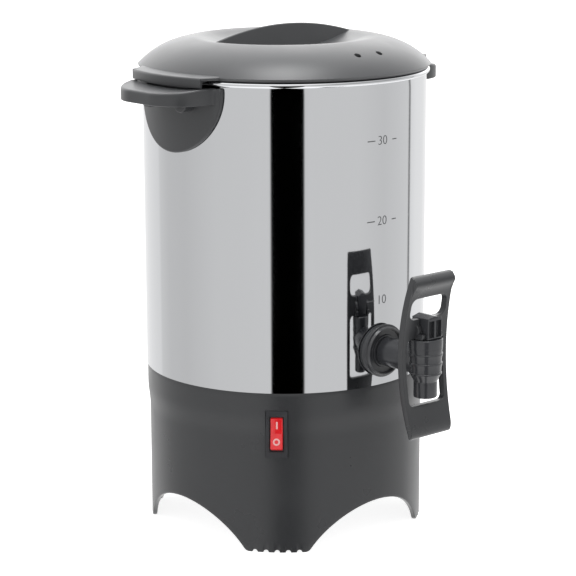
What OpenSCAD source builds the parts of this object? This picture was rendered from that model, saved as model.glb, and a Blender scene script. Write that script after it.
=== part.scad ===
// Percolator coffee urn with a lever tap, in millimetres.
// Origin: middle of the base on the table. +Z is up, the tap points to -Y, the handles lie on X.
// Angles round the urn (az) are measured from -Y toward +X.

/* [Tank] */
// Outer diameter of the steel tank
tank_d = 195; // [185:1:210]
// Thickness of the tank sheet
tank_wall = 1; // [0.8:0.1:1.5]
// Height of the tank wall, from the base joint to the middle of the rolled rim
tank_h = 204.8; // [195:0.2:240]
// Radius of the rolled bead on the rim
rim_r = 1.9; // [1.6:0.1:2.3]
// Height of the tank floor above the lower edge of its wall
floor_lift = 3; // [2.6:0.1:5]
// Inside fillet between the tank floor and its wall
floor_fillet = 4; // [2:0.5:8]
// Outer diameter of the well pressed into the tank floor
well_d = 52; // [46:1:54]
// Depth of the well below the tank floor
well_depth = 12; // [10:0.5:14]

/* [Base skirt] */
// Height of the plastic base skirt
base_h = 112; // [104:1:130]
// Wall thickness of the base skirt
base_wall = 3; // [2.4:0.1:3.6]
// How far the skirt stands in from the tank wall
skirt_inset = 0.5; // [0.3:0.1:1]
// How far the lower skirt steps in below its shoulder
skirt_step = 1.4; // [0.8:0.1:2]
// Height of the lower end of the shoulder
shoulder_low_z = 80.5; // [78:0.5:84]
// Height of the upper end of the shoulder
shoulder_high_z = 98; // [94:0.5:102]
// Radius of the round arches between the feet
arch_r = 58; // [50:1:60]
// Height of the top of each arch
arch_crown_z = 30; // [24:0.5:31]
// Rounding at the toe of each foot
toe_r = 4; // [2:0.5:6]
// Number of grip notches under each foot
foot_notches = 5; // [3:2:7]
// Radius of a grip notch
notch_r = 1.8; // [1:0.1:2.4]
// Distance between neighbouring notches
notch_pitch = 7.6; // [6:0.1:8]

/* [Base inside] */
// Height of the underside of the bottom cover
cover_z = 33; // [32:0.5:38]
// Thickness of the bottom cover
cover_t = 2.2; // [1.8:0.1:3]
// Radius of the screw bosses in the skirt
boss_r = 4.5; // [4:0.1:6]
// Height of the top of the screw bosses
boss_top_z = 60; // [54:1:64]
// Diameter of the cover screws
cover_screw_d = 3; // [2.5:0.1:3.5]
// Length of the cover screws below the head
cover_screw_l = 16; // [12:1:20]
// Outer radius of the aluminium heat plate
plate_r = 74; // [68:1:75]
// Thickness of the heat plate
plate_t = 3; // [2:0.1:4]
// Radius of the ring that the heating element follows
element_ring_r = 45; // [42:1:48]
// Diameter of the heating element tube
element_d = 7; // [6:0.1:8]
// Radius of the circle of welded studs
stud_ring_r = 80; // [79:0.5:82]
// Diameter of the welded studs
stud_d = 4; // [3:0.1:5]

/* [Switch] */
// Width of the switch bezel
switch_w = 14.6; // [13:0.1:16]
// Height of the switch bezel
switch_h = 32.5; // [30:0.1:34]
// Height of the middle of the switch
switch_z = 83.6; // [82:0.1:86]
// Position of the switch round the base, over a front foot
switch_az = -45; // [-50:1:-40]
// Thickness of the bezel
bezel_t = 1.6; // [1.2:0.1:2]
// Full swing of the rocker
rocker_swing = 18; // [12:1:20]

/* [Power inlet] */
// Height of the middle of the power inlet
inlet_z = 62; // [58:1:64]
// Width of the inlet flange
inlet_w = 50; // [48:0.5:54]
// Height of the inlet flange
inlet_h = 22.6; // [20:0.2:25]
// Distance between the two inlet screws
inlet_screw_span = 40; // [38:0.5:42]

/* [Handles] */
// Radius of the half-round back plate of a handle
handle_plate_r = 44.5; // [40:0.5:48]
// Thickness of the back plate
handle_plate_t = 2.6; // [2:0.1:3.2]
// Reach of the grip from the tank wall
grip_reach = 29; // [25:0.5:34]
// Corner radius of the grip in plan
grip_r = 27; // [20:0.5:30]
// Distance between the two corner centres of the grip
grip_centres = 20; // [12:0.5:24]
// Height of the outer edge of the grip
grip_h = 7.4; // [6:0.2:10]
// Rise of the top of the grip from its outer edge to the back plate
grip_rise = 3; // [0:0.5:4]
// Wall thickness of the hollow grip
grip_wall = 3; // [2.2:0.1:3.6]
// Position of each handle screw to the side of the handle's middle, in degrees
handle_screw_az = 9.5; // [8:0.5:12]
// Diameter of the handle screws
handle_screw_d = 3.2; // [2.6:0.1:4]

/* [Lid] */
// Height of the dome above the lid's straight edge
dome_h = 20.2; // [16:0.2:26]
// Fullness of the dome: a higher power gives a flatter top and a rounder shoulder
dome_power = 5.3; // [4:0.1:7]
// Wall thickness of the lid
lid_wall = 2.6; // [2:0.1:3]
// Height of the lid's straight edge
lid_lip = 1.5; // [1:0.1:3]
// How far the lid's edge stands out from the tank wall
lid_overhang = 2.9; // [2.4:0.1:4]
// Depth of the plug ring below the lid's edge
plug_depth = 7; // [5:0.5:10]
// Height of the finger ridge above the dome
ridge_rise = 6.8; // [4:0.2:10]
// Radius of the arc along the crest of the ridge
ridge_arc_r = 220; // [180:5:300]
// Thickness of the ridge
ridge_t = 12; // [9:0.5:14]
// Radius of the outline of each finger scoop at the top of the dome
scoop_outline_r = 61; // [50:0.5:64]
// Radius of the ball that shapes each finger scoop
scoop_ball_r = 190; // [180:5:260]
// Distance of each scoop's middle across the ridge from the lid's middle
scoop_offset = 8; // [4:0.5:12]
// Diameter of each steam vent
vent_d = 4.5; // [3:0.1:6]
// Distance between the two steam vents
vent_span = 19.4; // [14:0.2:26]
// Distance of the steam vents in front of the lid's middle
vent_y = 83.2; // [78:0.2:86]
// Reach of the side tabs of the lid beyond its edge
tab_reach = 8.6; // [8.4:0.1:10]
// Radius of the outer outline of a side tab
tab_outline_r = 82.5; // [70:0.5:95]
// Half the spread of a side tab round the lid, in degrees
tab_half_az = 20; // [14:1:22]
// How far the side tabs hang below the lid's lower edge
tab_drop = 5.3; // [4:0.1:5.4]

/* [Tap] */
// Height of the tap's shank above the top of the base
tap_rise = 23.7; // [22:0.1:40]
// Distance from the tank wall to the axis of the tap's barrel
tap_reach = 41.7; // [38:0.1:50]
// Outer diameter of the shank
shank_d = 19.5; // [18:0.1:20]
// Diameter of the threaded tail that passes through the tank
tail_d = 16; // [14:0.1:17]
// Bore through the shank
shank_bore_d = 10; // [8:0.1:10.5]
// Outer diameter of the barrel over its rings
barrel_d = 22.7; // [21.6:0.1:23.2]
// Outer diameter of the outlet spout
spout_d = 15.6; // [14:0.1:16.5]
// Bore of the outlet spout
spout_bore_d = 10.4; // [8:0.1:11]
// Length of the spout below the barrel
spout_l = 15.2; // [10:0.1:18]
// Diameter of the collar against the tank
collar_d = 36; // [34:0.5:44]
// Thickness of the collar
collar_t = 3.4; // [3:0.1:5]
// Thickness of the outer gasket at the middle of the tank wall
gasket_t = 2.1; // [2:0.1:3]
// Travel of the valve stem
stem_travel = 2.6; // [2:0.1:3]
// Diameter of the valve stem
stem_d = 4; // [3:0.1:4.6]
// Width of the stem cap, between the lever's cheeks
cap_w = 12.5; // [11:0.1:13]
// Length of the stem cap, fore and aft
cap_l = 15.7; // [13:0.1:17]
// Height of the stem cap
cap_h = 13.5; // [12.5:0.1:15]

/* [Lever] */
// Width of the lever at its middle
lever_w = 38.5; // [37:0.5:44]
// Width of the lever at its ends
lever_end_w = 34.5; // [33:0.5:42]
// Height of the lever frame
lever_h = 109.7; // [100:0.1:120]
// Width of each leg of the frame
leg_w = 3.4; // [3:0.1:4]
// Thickness of the frame at its middle
lever_t = 4.8; // [4:0.1:6]
// Radius of the bow of the lever's rear face
lever_rear_r = 170; // [150:5:220]
// Radius of the bow of the lever's front face
lever_front_r = 133; // [120:1:145]
// Diameter of the lever's pivot pin
pin_d = 3; // [2.4:0.1:3.4]
// Full swing of the lever
lever_swing = 25; // [22:1:28]

/* [Percolator] */
// Outer diameter of the coffee basket
basket_d = 150; // [130:1:160]
// Height of the coffee basket
basket_h = 36; // [30:0.5:38]
// Gap between the top of the basket and the top of the tank rim
basket_drop = 1.7; // [1:0.1:10]
// Diameter of the pump tube
tube_d = 9; // [8:0.1:10]
// Diameter of the flared foot of the pump tube
pump_foot_d = 46; // [40:1:48]
// Height of the flared foot
pump_foot_h = 18; // [16:0.5:24]
// Thickness of the sheet of the basket and the pump
sheet_t = 0.9; // [0.7:0.1:1.2]
// Diameter of the basket's drain holes
drain_d = 2.6; // [1.6:0.1:3]

/* [Clearances] */
// Gap between parts that are put together by hand
fit_gap = 0.3; // [0.2:0.05:0.4]
// Gap at rest between parts that move and what they rest on
seat_gap = 0.3; // [0.2:0.05:0.4]
// Gap round a pin that turns or a screw in its hole
pin_gap = 0.05; // [0.02:0.01:0.1]

/* [Hidden] */
$fn = 96;
plastic = "#3f4042";
steel = "#c9cbcc";
eps = 0.01;
far = 400;

// Tank heights and radii
tank_r = tank_d / 2;
tank_in_r = tank_r - tank_wall;
rim_z = base_h + tank_h;
rim_ring_r = tank_r + 0.3;
rim_top_z = rim_z + rim_r;
floor_z = base_h + floor_lift;
floor_top_z = floor_z + tank_wall;
well_r = well_d / 2;
well_z = floor_z - well_depth;
well_top_z = well_z + tank_wall;

// Skirt radii and the outline of its arches
skirt_top_r = tank_r - skirt_inset;
skirt_low_r = skirt_top_r - skirt_step;
skirt_in_r = skirt_low_r - base_wall;
ledge_w = 9;
ledge_in_r = skirt_top_r - ledge_w;
upstand_t = 1.7;
arch_axis_z = arch_crown_z - arch_r;
toe_x = sqrt(pow(arch_r + toe_r, 2) - pow(toe_r - arch_axis_z, 2));
toe_overcut = 0.03;
foot_az = [45, 135, 225, 315];

// Bottom cover and its screws
cover_top_z = cover_z + cover_t;
cover_r = skirt_in_r - 2.5 * fit_gap;
boss_ring_r = skirt_in_r - boss_r + 0.5;
screw_head_t = 2.2;
cover_screw_r = cover_screw_d / 2;

// Heater stack, hung below the tank floor
plate_in_r = well_r + 2;
plate_z = floor_z - plate_t;
element_r = element_d / 2;
element_z = plate_z - element_r - 0.1;
element_az = 300;
bracket_t = 2;
bracket_top_z = element_z - element_r - 0.1;
bracket_z = bracket_top_z - bracket_t;
bracket_in_r = element_ring_r - 6;
bracket_out_r = element_ring_r + 6;
stud_az = [90, 210, 330];
stud_nut_t = 3.2;
stud_nut_af = 7;
stud_z = bracket_z - stud_nut_t - 2;
sensor_ring_r = (bracket_out_r + plate_r) / 2 - 1.5;
sensor_h = 8.8;
block_y = element_ring_r + 5;

// Switch: the flat that it sits on, its body and its rocker
switch_flat_r = sqrt(pow(skirt_low_r, 2) - pow(switch_w / 2 + fit_gap, 2)) - 0.1;
switch_body_w = switch_w - 2;
switch_body_h = switch_h - 4.3;
switch_depth = 20;
rocker_hole_w = switch_body_w - 2.7;
rocker_hole_h = switch_body_h - 3.6;
rocker_well = 12;
rocker_r = rocker_hole_h / 2 - fit_gap;
rocker_w = rocker_hole_w - 2 * fit_gap;
rocker_pivot = 3.5;
rocker_proud = 0.4;
rocker_pin_r = 1.5;

// Power inlet
inlet_flange_t = 2.5;
inlet_pad_w = inlet_w + 4;
inlet_pad_h = inlet_h + 5.4;
inlet_flat_r = sqrt(pow(skirt_low_r, 2) - pow(inlet_pad_w / 2, 2)) + 0.1;
inlet_body_w = inlet_w - 23;
inlet_body_h = inlet_h - 2.8;
inlet_socket_w = inlet_body_w - 2.5;
inlet_socket_h = inlet_body_h - 3.3;
inlet_depth = 20;
inlet_socket_depth = 16;
inlet_screw_r = 1.5;
inlet_pin_rise = 1.5;
inlet_pin_pitch = 7;
inlet_tail_l = 6;

// Handles
handle_in_r = tank_r + fit_gap;
handle_out_r = handle_in_r + handle_plate_t;
handle_top_z = rim_z - rim_r - 0.9;
handle_axis_z = handle_top_z + 0.6;
grip_low_z = handle_top_z - grip_rise - grip_h;
grip_apex_r = tank_r + grip_reach;
grip_centre_r = grip_apex_r - grip_r;
grip_half_w = grip_r + grip_centres / 2;
grip_blend_r = 8;
grip_blend_y = sqrt(pow(handle_out_r + grip_blend_r, 2) - pow(grip_half_w + grip_blend_r, 2));
grip_blend_share = handle_out_r / (handle_out_r + grip_blend_r);
handle_screw_r = handle_screw_d / 2;
handle_screw_z = grip_low_z - 0.6;
handle_boss_r = 5.2;
handle_boss_l = 8;
handle_screw_l = 10;
washer_t = 1;
washer_r = 5;
washer_out_r = sqrt(pow(tank_in_r, 2) - pow(washer_r, 2)) - 0.05;

// Lid
lid_r = tank_r + lid_overhang;
lid_z = rim_top_z + seat_gap;
lid_edge_z = lid_z + lid_lip;
dome_top_z = lid_edge_z + dome_h;
plug_r = tank_in_r - 5 * fit_gap;
plug_t = 2.2;
ridge_top_z = dome_top_z + ridge_rise;
scoop_tuck = 0.3;
scoop_ball_z = dome_top_z + sqrt(pow(scoop_ball_r, 2) - pow(scoop_outline_r, 2));
vent_r = vent_d / 2;
tab_apex_r = lid_r + tab_reach;
tab_centre_r = tab_apex_r - tab_outline_r;
tab_z = lid_z - tab_drop;
grip_top_z = min(handle_top_z, tab_z - fit_gap);
tab_roof_z = lid_z - 1.6;
tab_rib_t = 2.8;
tab_rib_r = lid_r + (tab_reach - lid_wall - tab_rib_t) / 2;
tab_rib_half_az = 12;
dome_steps = 30;

// Tap: everything hangs on the barrel's axis and the height of the shank
tap_z = base_h + tap_rise;
barrel_at = tank_r + tap_reach;
barrel_r = barrel_d / 2;
ring_depth = 0.6;
tail_r = tail_d / 2;
collar_out_at = tank_r + gasket_t + collar_t;
collar_in_at = tank_r + gasket_t;
barrel_low_z = tap_z - 9.9;
cone_low_z = barrel_low_z - 4.1;
spout_z = barrel_low_z - spout_l;
barrel_top_z = tap_z + shank_d / 2 + 0.6;
bonnet_top_z = tap_z + 16.3;
bonnet_roof_t = 2;
seat_floor_z = barrel_low_z - 1.2;
seat_lip_z = seat_floor_z + 0.8;
chamber_r = barrel_r - 3.15;
rim_seat_r = barrel_r - 2.15;
rim_seat_z = barrel_top_z - 1.3;
spout_bore_r = spout_bore_d / 2;
stem_r = stem_d / 2;
spring_foot_z = rim_seat_z - 3.2;
spring_low_z = spring_foot_z + 1.2;
spring_high_z = bonnet_top_z - bonnet_roof_t - 0.2;
spring_wire_r = 0.45;
spring_r = stem_r + 1.5;
spring_turns = 4;
cap_z = bonnet_top_z + seat_gap;
pivot_z = cap_z + 5.2;
pivot_at = barrel_at - 2.2;
inner_face_at = sqrt(pow(tank_in_r, 2) - pow(tail_r + 5, 2));
washer_in_at = inner_face_at - 2;
backnut_t = 5;
backnut_af = 24;
tail_end_at = washer_in_at - backnut_t - 2.4;

// Lever
pin_r = pin_d / 2;
lever_low_z = pivot_z - 71.6;
lever_high_z = lever_low_z + lever_h;
lever_mid_z = (lever_low_z + lever_high_z) / 2;
lever_rear_y = -pivot_at + 3.4;
lever_front_y = lever_rear_y - lever_t;
lever_front_mid_z = lever_mid_z + 1.5;
lever_end_r = 3.4;
lever_corner_r = 4.5;
window_corner_r = 4;
corner_proud = 0.02;
web_up = 10.5;
window_up = 22.5;
window_down = 49;
lever_side_r = (pow(lever_h / 2, 2) + pow((lever_w - lever_end_w) / 2, 2)) / (lever_w - lever_end_w);
cheek_t = 3.2;
cheek_in_x = cap_w / 2 + fit_gap;
cam_r = 1.5;
cam_rear_l = 6.5;
pivot_rise = pivot_z - cap_z;
cam_front_l = cam_r
  + (pivot_rise + stem_travel - cam_r - (pivot_rise - cam_r) * cos(lever_swing)) / sin(lever_swing);
pin_l = 2 * (cheek_in_x + cheek_t + 1);

// Percolator
tube_r = tube_d / 2;
basket_r = basket_d / 2;
basket_top_z = rim_top_z - basket_drop;
basket_z = basket_top_z - basket_h;
pump_foot_r = pump_foot_d / 2;
tube_top_z = basket_top_z + 6;
pump_seat_z = well_top_z + 3;
valve_r = 8;
valve_t = 0.8;

// Puts children at an angle round the urn, at radius r and height z, facing outward along -Y
module at_az(az, r = 0, z = 0)
  rotate([0, 0, az])
    translate([0, -r, z])
      children();

// Cylinder that runs outward (-Y) from the local origin
module outward(r, l)
  rotate([90, 0, 0])
    cylinder(r = r, h = l);

// Wedge round the vertical axis, half_az degrees each side of -Y
module wedge(half_az, low_z, high_z)
  translate([0, 0, low_z])
    linear_extrude(high_z - low_z)
      polygon([
        [0, 0], [-far * tan(half_az), -far], [far * tan(half_az), -far]
      ]);

// Box given by its middle in x, its near and far distance outward, and its middle in z
module outward_box(w, near, away, h)
  translate([-w / 2, -away, -h / 2])
    cube([w, away - near, h]);

// Hexagonal nut on the vertical axis
module hex_nut(af, bore_r, t)
  difference() {
    cylinder(r = af / 2 / cos(30), h = t, $fn = 6);
    translate([0, 0, -eps])
      cylinder(r = bore_r, h = t + 2 * eps);
  }

// Pan-head screw: shank up from z = 0, head below it
module pan_screw(r, l, head_r, head_t) {
  cylinder(r = r, h = l, $fn = 32);
  translate([0, 0, -head_t])
    cylinder(r = head_r, h = head_t, $fn = 32);
}

// ---------- Base ----------

// Side outline of one arch: a circle that rounds out into the toes of the feet
module arch_outline() {
  toe_top_z = arch_axis_z + (toe_r - arch_axis_z) * arch_r / (arch_r + toe_r);
  translate([0, arch_axis_z])
    circle(arch_r);
  for (side = [0, 1])
    mirror([side, 0])
      difference() {
        translate([toe_x - 3 * toe_r, -toe_r])
          square([3 * toe_r, toe_top_z + toe_r - toe_overcut]);
        translate([toe_x, toe_r])
          circle(toe_r + toe_overcut / 10);
      }
}

module skirt_section() {
  polygon([
    [skirt_low_r, 0], [skirt_low_r, shoulder_low_z], [skirt_top_r, shoulder_high_z],
    [skirt_top_r, base_h], [skirt_top_r - base_wall, base_h],
    [skirt_top_r - base_wall, shoulder_high_z], [skirt_in_r, shoulder_low_z], [skirt_in_r, 0]
  ]);
  translate([ledge_in_r, base_h - base_wall])
    square([skirt_top_r - base_wall / 2 - ledge_in_r, base_wall]);
  translate([tank_in_r - fit_gap - upstand_t, base_h - eps])
    square([upstand_t, floor_lift - fit_gap]);
}

module base_skirt()
  color(plastic)
    difference() {
      union() {
        rotate_extrude()
          skirt_section();
        for (az = foot_az)
          at_az(az, boss_ring_r, cover_top_z)
            cylinder(r = boss_r, h = boss_top_z - cover_top_z, $fn = 48);
        intersection() {
          at_az(180, 0, inlet_z)
            outward_box(inlet_pad_w + 4, inlet_flat_r - base_wall, far, inlet_pad_h + 6);
          cylinder(r = skirt_low_r - 1, h = base_h);
        }
      }
      for (turn = [0, 90])
        rotate([90, 0, turn])
          linear_extrude(far, center = true)
            arch_outline();
      for (az = foot_az)
        for (i = [0 : foot_notches - 1])
          at_az(az + (i - (foot_notches - 1) / 2) * notch_pitch / skirt_low_r * 180 / PI, skirt_in_r - 2)
            outward(notch_r, base_wall + 6, $fn = 32);
      for (az = foot_az)
        at_az(az, boss_ring_r, cover_top_z - eps)
          cylinder(r = cover_screw_r + 2 * pin_gap, h = cover_screw_l + 2, $fn = 32);
      at_az(switch_az, 0, switch_z) {
        outward_box(switch_w + 2 * fit_gap, switch_flat_r, far, switch_h + 2 * fit_gap);
        outward_box(switch_body_w + fit_gap, skirt_in_r - 10, far, switch_body_h + fit_gap);
      }
      at_az(180, 0, inlet_z) {
        outward_box(inlet_pad_w, inlet_flat_r, far, inlet_pad_h);
        outward_box(inlet_body_w + 2 * fit_gap, inlet_flat_r - 20, far, inlet_body_h + 2 * fit_gap);
        for (side = [-1, 1])
          translate([side * inlet_screw_span / 2, -inlet_flat_r + 10, 0])
            outward(inlet_screw_r + 2 * pin_gap, 20, $fn = 32);
      }
    }

module bottom_cover()
  color(plastic)
    difference() {
      translate([0, 0, cover_z])
        cylinder(r = cover_r, h = cover_t);
      for (az = foot_az)
        at_az(az, boss_ring_r, cover_z - 1)
          cylinder(r = cover_screw_r + 4 * pin_gap, h = cover_t + 2, $fn = 32);
      for (row = [-3 : 3])
        for (side = [-1, 1])
          translate([side * 30 - 17, row * 9 - 1.5, cover_z - 1])
            cube([34, 3, cover_t + 2]);
    }

module cover_screws()
  color("#8d8f90")
    for (az = foot_az)
      at_az(az, boss_ring_r, cover_z)
        difference() {
          pan_screw(cover_screw_r, cover_screw_l, cover_screw_d, screw_head_t);
          translate([-cover_screw_d, -0.4, -screw_head_t - 1])
            cube([2 * cover_screw_d, 0.8, 2]);
        }

// ---------- Switch ----------

module switch_housing()
  color("#2b2c2e")
    at_az(switch_az, switch_flat_r, switch_z)
      difference() {
        union() {
          outward_box(switch_w, 0, bezel_t, switch_h);
          outward_box(switch_body_w, -switch_depth, eps, switch_body_h);
        }
        outward_box(rocker_hole_w, -rocker_well, far, rocker_hole_h);
        translate([-rocker_hole_w / 2 - 1, rocker_pivot - bezel_t, 0])
          rotate([0, 90, 0])
            cylinder(r = rocker_pin_r + pin_gap, h = rocker_hole_w + 2);
        for (i = [-1 : 1])
          translate([0, 0, i * 9])
            outward_box(6.5, -switch_depth - 1, -rocker_well - 2, 1);
      }

// Side outline of the rocker about its pivot: a shallow V in front, round ends, a flat back
module rocker_outline() {
  half = rocker_swing / 2;
  valley = (rocker_pivot + rocker_proud) / cos(half);
  intersection() {
    circle(rocker_r);
    polygon([
      [2.6, -far], [2.6, far], [-valley - far * tan(half), far], [-valley, 0],
      [-valley - far * tan(half), -far]
    ]);
  }
}

module switch_rocker()
  color("#c8262b")
    at_az(switch_az, switch_flat_r + bezel_t - rocker_pivot, switch_z)
      rotate([-rocker_swing / 2, 0, 0])
        union() {
          translate([-rocker_w / 2, 0, 0])
            rotate([90, 0, 90])
              linear_extrude(rocker_w)
                rocker_outline();
          translate([-rocker_hole_w / 2 - 0.9, 0, 0])
            rotate([0, 90, 0])
              cylinder(r = rocker_pin_r, h = rocker_hole_w + 1.8);
        }

module switch_terminals()
  color("#c9a24a")
    at_az(switch_az, switch_flat_r, switch_z)
      for (i = [-1 : 1])
        translate([0, 0, i * 9])
          difference() {
            outward_box(6.3, -switch_depth - 8, -rocker_well - 2.1, 0.8);
            translate([0, switch_depth + 5, -1])
              cylinder(r = 0.8, h = 2, $fn = 24);
          }

// ---------- Power inlet ----------

module inlet_housing()
  color("#2b2c2e")
    at_az(180, inlet_flat_r, inlet_z)
      difference() {
        union() {
          outward_box(inlet_w, 0, inlet_flange_t, inlet_h);
          outward_box(inlet_body_w, -inlet_depth, eps, inlet_body_h);
        }
        outward_box(inlet_socket_w, inlet_flange_t - inlet_socket_depth, far, inlet_socket_h);
        for (side = [-1, 1])
          translate([side * inlet_screw_span / 2, 1, 0])
            outward(inlet_screw_r + 4 * pin_gap, inlet_flange_t + 2, $fn = 32);
        for (i = [-1 : 1])
          translate([i * inlet_pin_pitch, 0, i == 0 ? inlet_pin_rise : -inlet_pin_rise])
            outward_box(2.2, -inlet_depth - 1, far, 4.2);
      }

module inlet_pins()
  color("#b8babb")
    at_az(180, inlet_flat_r, inlet_z)
      for (i = [-1 : 1])
        translate([i * inlet_pin_pitch, 0, i == 0 ? inlet_pin_rise : -inlet_pin_rise])
          outward_box(2, -inlet_depth - inlet_tail_l, 0, 4);

module inlet_screws()
  color("#8d8f90")
    at_az(180, inlet_flat_r + inlet_flange_t, inlet_z)
      for (side = [-1, 1])
        translate([side * inlet_screw_span / 2, 0, 0])
          rotate([-90, 0, 0])
            pan_screw(inlet_screw_r, inlet_flange_t + base_wall + 4, 2 * inlet_screw_r - 0.2, 1.6);

// ---------- Tank and heater ----------

module tank_section() {
  translate([tank_in_r, base_h])
    square([tank_wall, tank_h]);
  translate([rim_ring_r, rim_z])
    circle(rim_r);
  translate([well_r - tank_wall, floor_z])
    square([tank_in_r - well_r + 2 * tank_wall - eps, tank_wall]);
  difference() {
    translate([tank_in_r - floor_fillet, floor_top_z - eps])
      square(floor_fillet + eps);
    translate([tank_in_r - floor_fillet, floor_top_z + floor_fillet])
      circle(floor_fillet);
  }
  translate([well_r - tank_wall, well_z])
    square([tank_wall, floor_top_z - well_z]);
  translate([0, well_z])
    square([well_r, tank_wall]);
}

module tank()
  color(steel)
    difference() {
      union() {
        rotate_extrude($fn = 180)
          tank_section();
        for (az = stud_az)
          at_az(az, stud_ring_r, stud_z)
            cylinder(r = stud_d / 2, h = floor_z + tank_wall / 2 - stud_z, $fn = 32);
      }
      at_az(0, tank_in_r - 5, tap_z)
        outward(tail_r + fit_gap, 20);
      for (side = [-90, 90])
        for (az = [-handle_screw_az, handle_screw_az])
          at_az(side + az, tank_in_r - 5, handle_screw_z)
            outward(handle_screw_r + fit_gap, 20, $fn = 32);
    }

module heat_plate()
  color("#d4d6d7")
    translate([0, 0, plate_z])
      difference() {
        cylinder(r = plate_r, h = plate_t);
        translate([0, 0, -1])
          cylinder(r = plate_in_r, h = plate_t + 2);
      }

// Tubular element: most of a ring, with both ends turned down to their terminals
module heating_element()
  color("#9a9c9d")
    rotate([0, 0, 90 - element_az / 2 + 180])
      union() {
        translate([0, 0, element_z])
          rotate_extrude(angle = element_az)
            translate([element_ring_r, 0])
              circle(element_r, $fn = 32);
        for (turn = [0, element_az])
          rotate([0, 0, turn])
            translate([element_ring_r, 0, element_z]) {
              sphere(element_r + 0.08, $fn = 32);
              translate([0, 0, -24])
                cylinder(r = element_r, h = 24, $fn = 32);
              translate([0, 0, -32])
                cylinder(r = 1.6, h = 9, $fn = 24);
            }
      }

module element_bracket()
  color("#b4b6b7")
    difference() {
      translate([0, 0, bracket_z])
        union() {
          difference() {
            cylinder(r = bracket_out_r, h = bracket_t);
            translate([0, 0, -1])
              cylinder(r = bracket_in_r, h = bracket_t + 2);
          }
          for (az = stud_az)
            at_az(az, 0, bracket_t / 2)
              outward_box(12, bracket_out_r - 2, stud_ring_r + 4, bracket_t);
        }
      for (az = stud_az)
        at_az(az, stud_ring_r, bracket_z - 1)
          cylinder(r = stud_d / 2 + 4 * pin_gap, h = bracket_t + 2, $fn = 32);
      for (turn = [-1, 1])
        at_az(180 + turn * (180 - element_az / 2), element_ring_r, bracket_z - 1)
          cylinder(r = element_r + fit_gap, h = bracket_t + 2, $fn = 32);
    }

module stud_nuts()
  color("#b8babb")
    for (az = stud_az)
      at_az(az, stud_ring_r, bracket_z - stud_nut_t)
        hex_nut(stud_nut_af, stud_d / 2 + 2 * pin_gap, stud_nut_t);

// Disc sensor against the underside of the heat plate
module disc_sensor(az, r, cap_colour) {
  at_az(az, sensor_ring_r, plate_z - sensor_h) {
    color(cap_colour)
      union() {
        cylinder(r = r, h = sensor_h, $fn = 48);
        for (side = [-1, 1])
          translate([side * r * 0.55 - 0.4, -3, -6])
            cube([0.8, 6, 6 + eps]);
      }
  }
}

module thermostat()
  disc_sensor(30, 8, "#ded8c8");

module thermal_cutout()
  disc_sensor(150, 6, "#ded8c8");

module terminal_block()
  color("#e8e6dd")
    translate([0, block_y, cover_top_z])
      difference() {
        translate([-18, -6, 0])
          cube([36, 12, 13]);
        for (i = [-1 : 1])
          translate([i * 11, 0, 5])
            cylinder(r = 2.4, h = 10, $fn = 32);
        for (i = [-1 : 1])
          translate([i * 11, 7, 3])
            outward(1.6, 14, $fn = 24);
      }

// ---------- Handles ----------

// Plan of the grip: two round corners, straight flanks and a blend into the back plate
module grip_plan(inset) {
  for (side = [-1, 1])
    translate([side * grip_centres / 2, -grip_centre_r])
      circle(grip_r - inset);
  translate([-grip_centres / 2, -grip_apex_r + inset])
    square([grip_centres, grip_r]);
  translate([-grip_half_w + inset, -grip_centre_r])
    square([2 * (grip_half_w - inset), grip_centre_r - handle_in_r * 0.8]);
}

module grip_blends()
  for (side = [-1, 1])
    difference() {
      polygon([
        [side * (grip_half_w - 1), -handle_in_r], [side * grip_half_w, -grip_blend_y],
        [side * (grip_half_w + grip_blend_r), -grip_blend_y],
        [side * (grip_half_w + grip_blend_r) * grip_blend_share, -grip_blend_y * grip_blend_share],
        [side * (grip_half_w - 1), -handle_in_r * 0.9]
      ]);
      translate([side * (grip_half_w + grip_blend_r), -grip_blend_y])
        circle(grip_blend_r);
    }

// Side outline of the grip, y across and z up, with a top that rises toward the tank
module grip_side(drop)
  polygon([
    [-grip_apex_r - 1, grip_low_z - 1], [-grip_apex_r - 1, grip_low_z + grip_h - drop],
    [-grip_apex_r, grip_low_z + grip_h - drop], [-handle_out_r, grip_top_z - drop],
    [0, grip_top_z - drop], [0, grip_low_z - 1]
  ]);

module grip_body(inset, low_z, with_blends)
  intersection() {
    translate([0, 0, low_z])
      linear_extrude(far)
        union() {
          grip_plan(inset);
          if (with_blends)
            grip_blends();
        }
    rotate([90, 0, 90])
      linear_extrude(far, center = true)
        grip_side(inset);
  }

module handle(az)
  color(plastic)
    rotate([0, 0, az])
      difference() {
        union() {
          intersection() {
            cylinder(r = handle_out_r, h = handle_top_z);
            translate([0, -tank_r / 2, handle_axis_z])
              outward(handle_plate_r, tank_r);
          }
          grip_body(0, grip_low_z, true);
          intersection() {
            difference() {
              cylinder(r = tab_rib_r + tab_rib_t, h = tab_roof_z - 1.3 * fit_gap);
              translate([0, 0, -1])
                cylinder(r = tab_rib_r, h = far);
            }
            wedge(tab_rib_half_az, grip_low_z + 3, far);
          }
          for (side = [-1, 1])
            at_az(side * handle_screw_az, handle_out_r - 1, handle_screw_z)
              outward(handle_boss_r, handle_boss_l + 1, $fn = 48);
        }
        difference() {
          grip_body(grip_wall, grip_low_z - 1, false);
          cylinder(r = handle_out_r, h = far);
          for (x = [-1 : 1])
            translate([x * grip_centres - 1, -far, grip_low_z + 1])
              cube([2, far, far]);
          for (side = [-1, 1])
            at_az(side * handle_screw_az, handle_out_r - 1, handle_screw_z)
              outward(handle_boss_r, handle_boss_l + 1, $fn = 48);
        }
        translate([0, 0, -1])
          cylinder(r = handle_in_r, h = far, $fn = 180);
        for (side = [-1, 1])
          at_az(side * handle_screw_az, tank_r - 5, handle_screw_z)
            outward(handle_screw_r + 2 * pin_gap, handle_screw_l + 3, $fn = 32);
      }

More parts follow.
